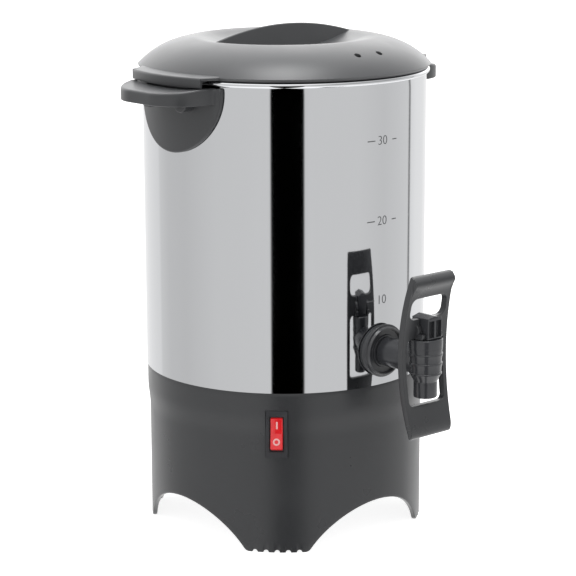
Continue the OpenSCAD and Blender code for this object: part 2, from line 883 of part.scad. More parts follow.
module handle_left()
  handle(-90);

module handle_right()
  handle(90);

module handle_screws()
  color("#b8babb")
    for (side = [-90, 90])
      for (az = [-handle_screw_az, handle_screw_az])
        at_az(side + az, washer_out_r - washer_t, handle_screw_z)
          rotate([90, 0, 0])
            pan_screw(handle_screw_r, handle_screw_l, 4, screw_head_t);

module handle_washers()
  color("#d8d9da")
    for (side = [-90, 90])
      for (az = [-handle_screw_az, handle_screw_az])
        at_az(side + az, washer_out_r, handle_screw_z)
          difference() {
            rotate([-90, 0, 0])
              cylinder(r = washer_r, h = washer_t, $fn = 48);
            translate([0, 5, 0])
              outward(handle_screw_r + 4 * pin_gap, 10, $fn = 32);
          }

// ---------- Lid ----------

// Height of a dome of edge radius r and rise h at distance x from its axis
function dome_z(x, r, h) = lid_edge_z + h * (1 - pow(x / r, dome_power));

// Half section of a solid dome: closer points toward the round shoulder
module dome_section(r, h, low_z)
  polygon(concat(
    [[0, low_z]],
    [[r, low_z]],
    [for (i = [0 : dome_steps]) let (x = r * cos(90 * i / dome_steps)) [x, dome_z(x, r, h)]]
  ));

// Two finger scoops, one each side of the ridge; grow makes the same shape larger
module scoops(grow)
  for (side = [0, 180])
    rotate([0, 0, side])
      intersection() {
        translate([0, scoop_offset, scoop_ball_z])
          sphere(scoop_ball_r + grow, $fn = 180);
        translate([-far, -far - ridge_t / 2 + grow + scoop_tuck, 0])
          cube([2 * far, far, far * 2]);
        translate([-far, -far, 0])
          cube([2 * far, 2 * far, dome_top_z + 10]);
      }

// Upright finger ridge along X: a disc sector with a rounded crest, cut off at a reach from Z
module ridge(r, t, low_z, reach)
  intersection() {
    translate([0, 0, ridge_top_z - ridge_arc_r])
      rotate([90, 0, 0])
        rotate_extrude($fn = 360)
          union() {
            translate([0, -t / 2])
              square([r - t / 2, t]);
            translate([r - t / 2, 0])
              circle(t / 2, $fn = 48);
          }
    translate([0, 0, low_z])
      cylinder(r = reach, h = far);
  }

module tab_plan()
  intersection() {
    translate([0, -tab_centre_r])
      circle(tab_outline_r);
    polygon([
      [0, 0], [-far * tan(tab_half_az), -far], [far * tan(tab_half_az), -far]
    ]);
  }

// Side tab: a sloping roof and an outer wall, open below and at both ends
module side_tab()
  intersection() {
    translate([0, 0, tab_z])
      linear_extrude(far)
        tab_plan();
    union() {
      rotate_extrude()
        polygon([
          [lid_r - 1.8, lid_z + 0.2], [lid_r + 0.2, tab_roof_z], [tab_apex_r + 1, tab_roof_z],
          [tab_apex_r + 1, tab_roof_z + 2.2], [lid_r - 1.8, lid_edge_z + 1.5]
        ]);
      difference() {
        cylinder(r = tab_apex_r + 1, h = tab_roof_z + 1);
        translate([0, -tab_centre_r, -1])
          cylinder(r = tab_outline_r - lid_wall, h = far);
      }
    }
  }

module lid()
  color(plastic)
    difference() {
      union() {
        difference() {
          rotate_extrude($fn = 180)
            dome_section(lid_r, dome_h, lid_z);
          scoops(0);
          difference() {
            rotate_extrude($fn = 180)
              dome_section(lid_r - lid_wall, dome_h - lid_wall, lid_z - 1);
            scoops(lid_wall);
            translate([0, 0, lid_z - 2])
              difference() {
                cylinder(r = plug_r, h = far);
                translate([0, 0, -1])
                  cylinder(r = plug_r - plug_t, h = far);
              }
          }
        }
        translate([0, 0, lid_z - plug_depth])
          difference() {
            cylinder(r = plug_r, h = plug_depth + 2);
            translate([0, 0, -1])
              cylinder(r = plug_r - plug_t, h = far);
          }
        ridge(ridge_arc_r, ridge_t, dome_top_z - 12, lid_r * 0.7);
        for (az = [-90, 90])
          rotate([0, 0, az])
            side_tab();
      }
      ridge(ridge_arc_r - lid_wall, ridge_t - 2 * lid_wall, lid_z, lid_r * 0.6);
      for (side = [-1, 1])
        translate([side * vent_span / 2, -vent_y, lid_z])
          cylinder(r = vent_r, h = far, $fn = 48);
    }

// ---------- Tap ----------

module on_barrel(z = 0)
  translate([0, -barrel_at, z])
    children();

module tap_body()
  color(plastic)
    difference() {
      union() {
        on_barrel()
          rotate_extrude()
            polygon([
              [0, spout_z], [spout_d / 2, spout_z], [spout_d / 2, cone_low_z],
              [barrel_r - ring_depth, barrel_low_z - 1.2], [barrel_r - ring_depth, barrel_low_z],
              [barrel_r, barrel_low_z + 0.6], [barrel_r, barrel_low_z + 2],
              [barrel_r - ring_depth, barrel_low_z + 2.8], [barrel_r - ring_depth, barrel_low_z + 6],
              [barrel_r, barrel_low_z + 6.6], [barrel_r, barrel_low_z + 8],
              [barrel_r - ring_depth, barrel_low_z + 8.8], [barrel_r - ring_depth, barrel_low_z + 12.8],
              [barrel_r, barrel_low_z + 13.4], [barrel_r, barrel_top_z], [0, barrel_top_z]
            ]);
        translate([0, -collar_out_at, tap_z])
          outward(shank_d / 2, barrel_at - collar_out_at);
        translate([0, -tail_end_at, tap_z])
          outward(tail_r, collar_out_at - tail_end_at + 1);
      }
      on_barrel() {
        translate([0, 0, spout_z - 1])
          cylinder(r = spout_bore_r, h = spout_l + 4);
        translate([0, 0, seat_lip_z])
          cylinder(r = chamber_r, h = far);
        translate([0, 0, rim_seat_z])
          cylinder(r = rim_seat_r, h = far);
        translate([0, 0, seat_floor_z])
          difference() {
            cylinder(r = chamber_r, h = 1);
            translate([0, 0, -1])
              cylinder(r = spout_bore_r + 1.4, h = 4);
          }
      }
      translate([0, -tail_end_at + 1, tap_z])
        outward(shank_bore_d / 2, barrel_at - tail_end_at + 1);
    }

module tap_collar()
  color(plastic)
    translate([0, -collar_in_at, tap_z])
      difference() {
        rotate([90, 0, 0])
          rotate_extrude()
            polygon([
              [0, 0], [collar_d / 2, 0], [collar_d / 2, collar_t * 0.5],
              [collar_d / 2 - 0.8, collar_t * 0.5 + 0.4], [collar_d / 2 - 2, collar_t * 0.5 + 0.4],
              [collar_d / 2 - 2.6, collar_t], [collar_d / 2 - 4.4, collar_t],
              [collar_d / 2 - 5, collar_t - 1], [shank_d / 2 + 1, collar_t - 1],
              [shank_d / 2, collar_t], [0, collar_t]
            ]);
        translate([0, 1, 0])
          outward(tail_r + fit_gap, collar_t + 2);
      }

module tap_gasket()
  color("#55575a")
    translate([0, -tank_r * 0.9, tap_z])
      difference() {
        outward(collar_d / 2 - 1, collar_in_at - tank_r * 0.9);
        translate([0, 1, 0])
          outward(tail_r + fit_gap, tank_r);
        translate([0, tank_r * 0.9, -far / 2])
          cylinder(r = tank_r + 2 * pin_gap, h = far, $fn = 180);
      }

module tap_inner_washer()
  color("#c4c5c6")
    intersection() {
      translate([0, -washer_in_at, tap_z])
        difference() {
          outward(tail_r + 5, 20);
          translate([0, 1, 0])
            outward(tail_r + fit_gap, 30);
        }
      cylinder(r = tank_in_r - 2 * pin_gap, h = far, $fn = 180);
    }

module tap_backnut()
  color("#b8babb")
    translate([0, -washer_in_at, tap_z])
      rotate([-90, 0, 0])
        hex_nut(backnut_af, tail_r + 2 * pin_gap, backnut_t);

module tap_bonnet()
  color(plastic)
    on_barrel(barrel_top_z)
      difference() {
        cylinder(r = barrel_r, h = bonnet_top_z - barrel_top_z);
        translate([0, 0, -1])
          cylinder(r = chamber_r, h = bonnet_top_z - barrel_top_z - bonnet_roof_t + 1);
        cylinder(r = stem_r + fit_gap, h = far, $fn = 48);
      }

// Valve stem with its spring foot, and the cap that carries the lever's pin
module tap_stem()
  color("#46484a")
    difference() {
      union() {
        on_barrel(seat_lip_z + seat_gap + 1.6)
          cylinder(r = stem_r, h = cap_z - seat_lip_z - seat_gap, $fn = 48);
        on_barrel(spring_foot_z)
          cylinder(r = stem_r + 2.2, h = 1, $fn = 48);
        on_barrel(cap_z)
          cap_solid();
      }
      translate([-cap_w, -pivot_at, pivot_z])
        rotate([0, 90, 0])
          cylinder(r = pin_r + pin_gap, h = 2 * cap_w, $fn = 48);
    }

// Stem cap: a block with a shallow roof and two pockets in its front
module cap_solid()
  difference() {
    rotate([90, 0, 90])
      translate([0, 0, -cap_w / 2])
        linear_extrude(cap_w)
          polygon([
            [-cap_l / 2, 0], [cap_l / 2, 0], [cap_l / 2, cap_h - 2.4],
            [1, cap_h], [-cap_l / 2, cap_h - 1.6]
          ]);
    for (side = [-1, 1])
      translate([side * cap_w / 4 - (cap_w / 2 - 1.6) / 2, -cap_l / 2 - 1, 1.2])
        cube([cap_w / 2 - 1.6, 4, cap_h - 4.4]);
  }

// Silicone valve: a plug on the seat, a neck and a thin cone up to the clamped rim
module seat_cup()
  color("#d9d6cc")
    on_barrel()
      rotate_extrude()
        polygon([
          [0, seat_lip_z + seat_gap], [spout_bore_r + 1.7, seat_lip_z + seat_gap],
          [spout_bore_r + 1.7, seat_lip_z + 4], [stem_r + 1.8, seat_lip_z + 7],
          [stem_r + 1.8, spring_foot_z - 2.6], [chamber_r - 0.4, rim_seat_z - 0.4],
          [chamber_r - 0.4, rim_seat_z + 0.1], [rim_seat_r - 0.2, rim_seat_z + 0.1],
          [rim_seat_r - 0.2, barrel_top_z - 0.2], [chamber_r - 1.4, barrel_top_z - 0.2],
          [chamber_r - 1.4, rim_seat_z], [stem_r + 1.6, spring_foot_z - 1.4],
          [stem_r + pin_gap, spring_foot_z - 1.4], [stem_r + pin_gap, seat_lip_z + 1.8],
          [0, seat_lip_z + 1.8]
        ]);

// Points of the spring: a small polygon carried round a helix
module tap_spring() {
  sides = 8;
  steps = 16 * spring_turns;
  rise = spring_high_z - spring_low_z - 2 * spring_wire_r;
  ring = function(i) [
    for (k = [0 : sides - 1])
      let (turn = 360 * spring_turns * i / steps, r = spring_r + spring_wire_r * cos(360 * k / sides))
        [r * cos(turn), r * sin(turn),
         spring_low_z + spring_wire_r + rise * i / steps + spring_wire_r * sin(360 * k / sides)]
  ];
  points = [for (i = [0 : steps]) each ring(i)];
  sleeve = [
    for (i = [0 : steps - 1])
      for (k = [0 : sides - 1])
        let (n = (k + 1) % sides)
          [i * sides + k, (i + 1) * sides + k, (i + 1) * sides + n, i * sides + n]
  ];
  start = [[for (k = [0 : sides - 1]) k]];
  finish = [[for (k = [sides - 1 : -1 : 0]) steps * sides + k]];
  color("#a8aaab")
    on_barrel()
      polyhedron(points, concat(sleeve, start, finish));
}

module lever_pin()
  color("#b8babb")
    translate([-pin_l / 2, -pivot_at, pivot_z])
      rotate([0, 90, 0])
        cylinder(r = pin_r, h = pin_l, $fn = 48);

// Half width of the lever frame at height z, less an inset
function lever_half_w(z, inset) =
  sqrt(pow(lever_side_r - inset, 2) - pow(z - lever_mid_z, 2)) - lever_side_r + lever_w / 2;

// Panel in front view, x across and z up: bowed sides, flat ends and round corners
module bowed_panel(low_z, high_z, inset, corner_r)
  intersection() {
    translate([lever_side_r - lever_w / 2, lever_mid_z])
      circle(lever_side_r - inset, $fn = 360);
    translate([lever_w / 2 - lever_side_r, lever_mid_z])
      circle(lever_side_r - inset, $fn = 360);
    union() {
      translate([-lever_w, low_z + corner_r])
        square([2 * lever_w, high_z - low_z - 2 * corner_r]);
      for (z = [low_z + corner_r, high_z - corner_r])
        for (x = [lever_half_w(z, inset) - corner_r + corner_proud]) {
          translate([-x, z - corner_r])
            square([2 * x, 2 * corner_r]);
          for (side = [-1, 1])
            translate([side * x, z])
              circle(corner_r, $fn = 64);
        }
    }
  }

// Position outward of a bowed face at height z: it stands nearest the tank at mid_z
function bow_y(z, near_y, r, mid_z) = near_y - r + sqrt(pow(r, 2) - pow(z - mid_z, 2));

// Side outline of the lever, y across and z up: two bows of different radius with round ends
module lever_side() {
  intersection() {
    difference() {
      translate([lever_rear_y - lever_rear_r, lever_mid_z])
        circle(lever_rear_r, $fn = 360);
      translate([lever_front_y - lever_front_r, lever_front_mid_z])
        circle(lever_front_r, $fn = 360);
    }
    union() {
      translate([lever_rear_y - 40, lever_low_z + lever_end_r])
        square([60, lever_h - 2 * lever_end_r]);
      for (z = [lever_low_z + lever_end_r, lever_high_z - lever_end_r])
        translate([
          (bow_y(z, lever_rear_y, lever_rear_r, lever_mid_z)
            + bow_y(z, lever_front_y, lever_front_r, lever_front_mid_z)) / 2, z
        ])
          circle(lever_end_r, $fn = 64);
    }
  }
}

module tap_lever()
  color(plastic)
    difference() {
      union() {
        intersection() {
          rotate([90, 0, 90])
            linear_extrude(2 * lever_w, center = true)
              lever_side();
          rotate([90, 0, 0])
            linear_extrude(far)
              difference() {
                bowed_panel(lever_low_z, lever_high_z, 0, lever_corner_r);
                bowed_panel(pivot_z + web_up, pivot_z + window_up, leg_w, window_corner_r);
                bowed_panel(pivot_z - window_down, cap_z, leg_w, window_corner_r);
                translate([-cheek_in_x, cap_z - 2])
                  square([2 * cheek_in_x, pivot_z + web_up + 4 - cap_z]);
              }
        }
        for (side = [-1, 1])
          translate([side * (cheek_in_x + cheek_t / 2), -pivot_at, pivot_z])
            rotate([90, 0, 90])
              translate([0, 0, -cheek_t / 2])
                linear_extrude(cheek_t)
                  cheek_outline();
      }
      translate([-pin_l / 2 - fit_gap, -pivot_at, pivot_z])
        rotate([0, 90, 0])
          cylinder(r = pin_r + pin_gap, h = pin_l + 2 * fit_gap, $fn = 48);
    }

// Side outline of a cheek about the pin: a round boss on a cam foot, whose front corner rolls on
// the bonnet and lifts the pin by the stem's travel over the lever's swing
module cheek_outline() {
  circle(5);
  translate([-cam_front_l + cam_r, -pivot_rise])
    square([cam_front_l + cam_rear_l - 2 * cam_r, pivot_rise]);
  translate([-cam_front_l, -pivot_rise + cam_r])
    square([cam_front_l + cam_rear_l, 2.2]);
  for (x = [cam_r - cam_front_l, cam_rear_l - cam_r])
    translate([x, -pivot_rise + cam_r])
      circle(cam_r, $fn = 32);
}

// ---------- Percolator ----------

module pump_tube()
  color(steel)
    difference() {
      rotate_extrude() {
        polygon([
          [pump_foot_r, well_top_z], [pump_foot_r, well_top_z + 1.5],
          [tube_r + 1, well_top_z + pump_foot_h - 1], [tube_r, well_top_z + pump_foot_h + 2],
          [tube_r, tube_top_z], [tube_r - sheet_t, tube_top_z],
          [tube_r - sheet_t, well_top_z + pump_foot_h + 1], [tube_r, well_top_z + pump_foot_h - 2.6],
          [pump_foot_r - sheet_t, well_top_z + 1], [pump_foot_r - sheet_t, well_top_z]
        ]);
        translate([valve_r - 3, pump_seat_z])
          square([pump_foot_r - valve_r + 0.5, sheet_t]);
        translate([tube_r - eps, basket_z - 1.6])
          square([2.4, 1.6]);
      }
      for (az = [45 : 90 : 315])
        at_az(az, pump_foot_r - 3, well_top_z - eps)
          translate([-3, -4, 0])
            cube([6, 8, 2]);
    }

// Loose disc that covers the seat and lifts to let water in
module pump_valve()
  color("#b0b2b3")
    translate([0, 0, pump_seat_z + sheet_t + seat_gap])
      difference() {
        cylinder(r = valve_r, h = valve_t);
        translate([0, 0, -1])
          cylinder(r = 1, h = 4, $fn = 24);
      }

// Rings of holes: ring i has its own radius and its own number of holes
module hole_rings(radii, spacing, r, z, h)
  for (ring_r = radii)
    let (count = floor(2 * PI * ring_r / spacing))
      for (i = [0 : count - 1])
        at_az(i * 360 / count, ring_r, z)
          cylinder(r = r, h = h, $fn = 16);

module coffee_basket()
  color("#bfc1c2")
    difference() {
      rotate_extrude() {
        translate([basket_r - sheet_t, basket_z])
          square([sheet_t, basket_h]);
        translate([tube_r + fit_gap, basket_z])
          square([basket_r - tube_r - fit_gap, sheet_t]);
        translate([tube_r + fit_gap, basket_z])
          square([sheet_t, 10]);
        translate([basket_r - sheet_t, basket_top_z - 1.6])
          square([sheet_t + 1.2, 1.6]);
      }
      hole_rings([for (k = [1 : 4]) tube_r + 2 + k * (basket_r - tube_r) / 5], 16, drain_d / 2, basket_z - 1, 4);
    }

module basket_lid()
  color("#bfc1c2")
    difference() {
      rotate_extrude() {
        translate([tube_r + fit_gap, basket_top_z + 0.1])
          square([basket_r - 3 - tube_r, sheet_t]);
        translate([basket_r - 4, basket_top_z + 0.1])
          square([5, sheet_t]);
        translate([basket_r - 2 - sheet_t, basket_top_z - 4])
          square([sheet_t, 4.2]);
      }
      hole_rings([for (k = [1 : 4]) tube_r + 2 + k * (basket_r - tube_r) / 5.4], 18, drain_d / 2, basket_top_z - 1, 4);
    }

base_skirt();
bottom_cover();
cover_screws();
switch_housing();
switch_rocker();
switch_terminals();
inlet_housing();
inlet_pins();
inlet_screws();
tank();
heat_plate();
heating_element();
element_bracket();
stud_nuts();
thermostat();
thermal_cutout();
terminal_block();
handle_left();
handle_right();
handle_screws();
handle_washers();
tap_body();
tap_collar();
tap_gasket();
tap_inner_washer();
tap_backnut();
tap_bonnet();
tap_stem();
seat_cup();
tap_spring();
lever_pin();
tap_lever();
pump_tube();
pump_valve();
coffee_basket();
basket_lid();
lid();
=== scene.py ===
"""Coffee urn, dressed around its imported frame. Laid out as an add-on and run as a script.

Sizes of the pieces are millimetres, and make() turns them into metres. Floor and lamp are in metres.
Origin: middle of the base on the table. +Z is up and the tap points to -Y.
"""

import math

import bmesh
import bpy
import numpy as np
from mathutils import Matrix


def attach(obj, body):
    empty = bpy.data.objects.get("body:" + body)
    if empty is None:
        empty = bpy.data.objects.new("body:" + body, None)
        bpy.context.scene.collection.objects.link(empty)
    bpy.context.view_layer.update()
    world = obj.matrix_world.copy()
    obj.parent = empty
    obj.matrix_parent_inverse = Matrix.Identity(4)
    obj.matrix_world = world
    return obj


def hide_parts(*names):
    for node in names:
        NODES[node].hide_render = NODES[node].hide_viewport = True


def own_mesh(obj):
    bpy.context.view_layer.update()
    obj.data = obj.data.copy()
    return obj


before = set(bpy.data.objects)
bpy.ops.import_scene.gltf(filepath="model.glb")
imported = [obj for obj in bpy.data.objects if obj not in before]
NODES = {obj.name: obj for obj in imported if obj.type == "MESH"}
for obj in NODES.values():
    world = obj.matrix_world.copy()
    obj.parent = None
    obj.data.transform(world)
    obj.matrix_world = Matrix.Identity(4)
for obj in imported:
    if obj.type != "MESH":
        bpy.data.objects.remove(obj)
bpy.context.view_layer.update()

bl_info = {
    "name": "Coffee urn",
    "version": (1, 0, 0),
    "blender": (4, 5, 0),
    "location": "3D View > Sidebar > Urn",
    "description": "Polished steel percolator urn on a footed plastic skirt, with a lever tap",
    "category": "Add Mesh",
}

MM = 0.001


# ---------- Colours and materials ----------


def linear(code):
    """sRGB hex to linear light: v / 12.92 below 0.04045, else ((v + 0.055) / 1.055) ^ 2.4."""
    value = np.array([int(code[i:i + 2], 16) for i in (1, 3, 5)]) / 255
    return tuple(np.where(value <= 0.04045, value / 12.92, ((value + 0.055) / 1.055) ** 2.4))


def node(tree, kind, inputs=None, **settings):
    """Adds a shader node: settings are its properties, inputs are values or sockets to link from."""
    made = tree.nodes.new("ShaderNode" + kind)
    for name, value in settings.items():
        setattr(made, name, value)
    for name, value in (inputs or {}).items():
        if isinstance(value, bpy.types.NodeSocket):
            tree.links.new(value, made.inputs[name])
        else:
            made.inputs[name].default_value = value
    return made


def maths(tree, operation, *values):
    """The sum, product or angle of some values or sockets."""
    return node(tree, "Math", dict(enumerate(values)), operation=operation).outputs["Value"]


def span(tree, value, first, last, low=0.0, high=1.0, **settings):
    """Goes from low to high as the value goes from first to last."""
    inputs = {"Value": value, "From Min": first, "From Max": last, "To Min": low, "To Max": high}
    return node(tree, "MapRange", inputs, **settings).outputs["Result"]


def ramp(tree, factor, stops):
    """A colour ramp from (position, colour) stops."""
    made = node(tree, "ValToRGB", {"Fac": factor})
    elements = made.color_ramp.elements
    while len(elements) < len(stops):
        elements.new(0.5)
    for element, (place, colour) in zip(elements, stops):
        element.position = place
        element.color = (*colour, 1)
    return made.outputs["Color"]


def shaded(colour, gain):
    """A colour made lighter or darker by a gain."""
    return tuple(min(1.0, channel * gain) for channel in colour)


def surface(name, colour, rough, metal, mottle, grain, spread=0.05, stretch=(1, 1, 1), glow=0.0, coat=0.0):
    """One material: colour mottled by a soft noise, roughness varied by the same noise and a grain bump.

    mottle is (size in mm, spread of the colour), grain is (size in mm, height in mm). glow is the strength of
    a painted glow, in which the surface gives off its own colour without any lamp in the scene.
    """
    made = bpy.data.materials.new(name)
    made.use_nodes = True
    tree = made.node_tree
    shader = tree.nodes["Principled BSDF"]
    place = node(tree, "TexCoord").outputs["Object"]
    place = node(tree, "Mapping", {"Vector": place, "Scale": stretch}).outputs["Vector"]

    def noise(size, **inputs):
        """Noise with cells of a size in mm."""
        return node(tree, "TexNoise", {"Vector": place, "Scale": 1 / (size * MM), **inputs}).outputs["Fac"]

    cloud = noise(mottle[0], Detail=4.0, Roughness=0.6)
    # Nearly all of the noise lies between these two values
    least, most = 0.3, 0.7
    tint = ramp(tree, cloud, [(least, shaded(colour, 1 - mottle[1])), (most, shaded(colour, 1 + mottle[1]))])
    tree.links.new(tint, shader.inputs["Base Color"])
    tree.links.new(span(tree, cloud, least, most, rough - spread, rough + spread), shader.inputs["Roughness"])
    if grain[1]:
        bump = {"Height": noise(grain[0], Detail=2.0), "Strength": 1.0, "Distance": grain[1] * MM}
        tree.links.new(node(tree, "Bump", bump).outputs["Normal"], shader.inputs["Normal"])
    shader.inputs["Metallic"].default_value = metal
    shader.inputs["Coat Weight"].default_value = coat
    # Painted glow: the surface gives off its own colour, which brightens it as if lit, with no lamp in the
    # scene
    if glow:
        shader.inputs["Emission Color"].default_value = (*colour, 1)
        shader.inputs["Emission Strength"].default_value = glow
    return made


# ---------- Shapes ----------


def fillet(points, radii, steps=5):
    """Rounds the corners of closed outlines, given as (..., corners, 2).

    A corner gives way to a circle's arc, written as the quadratic curve from tangent point to tangent
    point through the corner, whose middle weight is the sine of half the corner's angle.
    """
    points = np.asarray(points, float)
    back = np.roll(points, 1, -2) - points
    ahead = np.roll(points, -1, -2) - points
    back_l = np.linalg.norm(back, axis=-1, keepdims=True)
    ahead_l = np.linalg.norm(ahead, axis=-1, keepdims=True)
    back, ahead = back / back_l, ahead / ahead_l
    half = np.arccos(np.clip((back * ahead).sum(-1, keepdims=True), -1, 1)) / 2
    radii = np.broadcast_to(np.asarray(radii, float), points.shape[-2:-1])[:, None]
    reach = np.minimum(radii / np.tan(np.maximum(half, 0.01)), 0.49 * np.minimum(back_l, ahead_l))
    share = np.linspace(0, 1, steps + 1)[:, None]
    weights = (1 - share) ** 2, 2 * share * (1 - share) * np.sin(half)[..., None, :], share ** 2
    first, last = (points + back * reach)[..., None, :], (points + ahead * reach)[..., None, :]
    curve = (weights[0] * first + weights[1] * points[..., None, :] + weights[2] * last) / sum(weights)
    return curve.reshape(*points.shape[:-2], -1, 2)


def arc(centre, radius, start, stop, count):
    """Points on a circle from one angle to another, in degrees."""
    turn = np.radians(np.linspace(start, stop, count))
    return np.stack([centre[0] + radius * np.cos(turn), centre[1] + radius * np.sin(turn)], -1)


def stretched(line, count):
    """Points spaced evenly by length along an open line, without its last point."""
    line = np.asarray(line, float)
    length = np.concatenate([[0], np.cumsum(np.linalg.norm(np.diff(line, axis=0), axis=1))])
    at = np.linspace(0, length[-1], count, endpoint=False)
    return np.stack([np.interp(at, length, line[:, axis]) for axis in (0, 1)], -1)


def spaced(outline, count):
    """Points spaced evenly by length along a closed outline."""
    return stretched(np.vstack([outline, outline[:1]]), count)


def inward(outline):
    """Unit normals that point into a closed outline run anticlockwise: the tangent turned left."""
    tangent = np.roll(outline, -1, 0) - np.roll(outline, 1, 0)
    tangent /= np.maximum(np.linalg.norm(tangent, axis=1, keepdims=True), 1e-9)
    return np.stack([-tangent[:, 1], tangent[:, 0]], -1)


def lattice(points, wrap_u=False, wrap_v=False):
    """A grid of points (u, v, 3) as vertices and four-sided faces between neighbours."""
    index = np.arange(points.shape[0] * points.shape[1]).reshape(points.shape[:2])
    if wrap_u:
        index = np.vstack([index, index[:1]])
    if wrap_v:
        index = np.hstack([index, index[:, :1]])
    faces = np.stack([index[:-1, :-1], index[1:, :-1], index[1:, 1:], index[:-1, 1:]], -1)
    return points.reshape(-1, 3), faces.reshape(-1, 4).tolist()


def tube(rings):
    """Rings of points joined to a closed surface, with a face over the first and the last ring."""
    points, faces = lattice(rings, wrap_v=True)
    ring = rings.shape[1]
    return points, faces + [list(range(ring)), list(range(len(points) - ring, len(points)))]


def carried(turn, radius, height):
    """A row of radii and heights at each angle round Z: (r cos a, r sin a, h)."""
    x, y = np.outer(np.cos(turn), radius), np.outer(np.sin(turn), radius)
    return np.stack([x, y, np.broadcast_to(height, x.shape)], -1)


def around(radius, az, height):
    """Points at a radius, an angle in radians from -Y toward +X, and a height."""
    return np.stack(np.broadcast_arrays(radius * np.sin(az), -radius * np.cos(az), height), -1)


def revolve(profile, segments=128):
    """A profile of (radius, height) carried round Z."""
    turn = np.linspace(0, 2 * np.pi, segments, endpoint=False)
    return lattice(carried(turn, *np.asarray(profile, float).T), wrap_u=True)


def ring_of(corners, segments=160, steps=4):
    """A closed section of (radius, height, rounding) corners, carried round Z."""
    corners = np.array(corners, float)
    section = fillet(corners[:, :2], corners[:, 2], steps)
    return revolve(np.vstack([section, section[:1]]), segments)


def quarter(radius, steps=4):
    """(inset, rise) pairs on a quarter circle from a flat face to a side: r (1 - sin t), r (1 - cos t)."""
    turn = np.radians(np.linspace(0, 90, steps + 1))
    return np.stack([radius * (1 - np.sin(turn)), radius * (1 - np.cos(turn))], -1)


def edge_rows(radius, low, high, steps=4):
    """(inset, height) pairs up the side of a plate: a quarter circle in, a straight side, and one back.

    The first and the last pair lie on the flat face, so that its shading stays flat.
    """
    rows = np.vstack([[(1.3 * radius, 0)], quarter(radius, steps)])
    return np.vstack([rows + (0, low), (rows * (1, -1) + (0, high))[::-1]])


def plate(outline, low, high, radius, steps=4):
    """A closed outline pulled up from low to high: ring k is the outline moved in by the rounding there."""
    inset, height = edge_rows(radius, low, high, steps).T[:, :, None, None]
    flat = outline + inward(outline) * inset
    return tube(np.concatenate([flat, np.broadcast_to(height, (*flat.shape[:2], 1))], -1))


def block(width, depth, corner, steps=5):
    """A rectangle about the middle with rounded corners, anticlockwise."""
    x, y = width / 2, depth / 2
    return fillet([(-x, -y), (x, -y), (x, y), (-x, y)], corner, steps)


def moved(shell, by):
    """A shell shifted by (x, y, z)."""
    return shell[0] + np.asarray(by, float), shell[1]


def turned(shell, *axes):
    """A shell whose X, Y and Z come to point along three axes."""
    return shell[0] @ np.array(axes, float), shell[1]


def outward(shell):
    """A shell turned so that its +Z points to -Y and its +Y to +Z."""
    return turned(shell, (1, 0, 0), (0, 0, 1), (0, -1, 0))


def sideways(shell):
    """A shell turned so that its +X points to +Y, its +Y to +Z and its +Z to +X."""
    return turned(shell, (0, 1, 0), (0, 0, 1), (1, 0, 0))


def leaned(shell, angle):
    """A shell turned about X by an angle in degrees, from +Y toward +Z."""
    c, s = math.cos(math.radians(angle)), math.sin(math.radians(angle))
    return turned(shell, (1, 0, 0), (0, c, s), (0, -s, c))


def at_az(shell, az):
    """A shell turned round the urn by az degrees, from -Y toward +X."""
    c, s = math.cos(math.radians(az)), math.sin(math.radians(az))
    return turned(shell, (c, s, 0), (-s, c, 0), (0, 0, 1))


def smooth_step(value):
    """0 below 0, 1 above 1, and 3 v^2 - 2 v^3 between."""
    value = np.clip(value, 0, 1)
    return value * value * (3 - 2 * value)


# ---------- From shapes to pieces ----------


def placed(name, data):
    """A new object in the scene."""
    made = bpy.data.objects.new(name, data)
    bpy.context.scene.collection.objects.link(made)
    return made


def shade(mesh, sharp):
    """Smooth shading, with sharp edges from an angle in degrees on."""
    mesh.shade_smooth()
    mesh.set_sharp_from_angle(angle=math.radians(sharp))


def finish_piece(name, mesh, look, body, slot, replaces=(), sharp=35):
    """Merges, turns the faces out, shades and hands the piece to the frame."""
    work = bmesh.new()
    work.from_mesh(mesh)
    bmesh.ops.remove_doubles(work, verts=work.verts, dist=1e-6)
    bmesh.ops.dissolve_degenerate(work, edges=work.edges, dist=1e-7)
    bmesh.ops.recalc_face_normals(work, faces=work.faces)
    work.to_mesh(mesh)
    work.free()
    shade(mesh, sharp)
    piece = placed(name, mesh)
    mesh.materials.clear()
    mesh.materials.append(finish(look))
    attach(piece, body)
    if replaces:
        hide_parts(*replaces)
    return piece


def make(name, shells, look, body, slot, replaces=(), sharp=35):
    """Joins shells into one piece in metres."""
    points, faces, start = [], [], 0
    for shell_points, shell_faces in shells:
        points.append(shell_points)
        faces.extend([index + start for index in face] for face in shell_faces)
        start += len(shell_points)
    mesh = bpy.data.meshes.new(name)
    mesh.from_pydata((np.vstack(points) * MM).tolist(), [], faces)
    return finish_piece(name, mesh, look, body, slot, replaces, sharp)


def copied(name, look, body, slot, sharp):
    """A piece with the mesh of the CAD node that it replaces."""
    return finish_piece(name + "_soft", NODES[name].data.copy(), look, body, slot, (name,), sharp)


def softened(name, look, body, slot, width=0.4, sharp=30):
    """A copy of a CAD node whose edges are rounded by a bevel of that width in mm."""
    piece = copied(name, look, body, slot, sharp)
    bevel = piece.modifiers.new("edge_rounding", "BEVEL")
    bevel.width = width * MM
    bevel.segments = 3
    bevel.limit_method = "ANGLE"
    bevel.angle_limit = math.radians(sharp)


def carve(piece, look, shells, sharp=40):
    """Cuts closed shells out of a piece."""
    cutter = make("cutter", shells, look, "base", "cutter")
    cut = piece.modifiers.new("cut", "BOOLEAN")
    cut.operation, cut.solver, cut.object = "DIFFERENCE", "EXACT", cutter
    mesh = bpy.data.meshes.new_from_object(piece.evaluated_get(bpy.context.evaluated_depsgraph_get()))
    piece.modifiers.remove(cut)
    piece.data = mesh
    shade(mesh, sharp)
    bpy.data.objects.remove(cutter)


def paint(look, *names):
    """Gives CAD nodes their finish."""
    for name in names:
        NODES[name].data.materials.clear()
        NODES[name].data.materials.append(finish(look))


# ---------- Sizes and colours that a user would change ----------


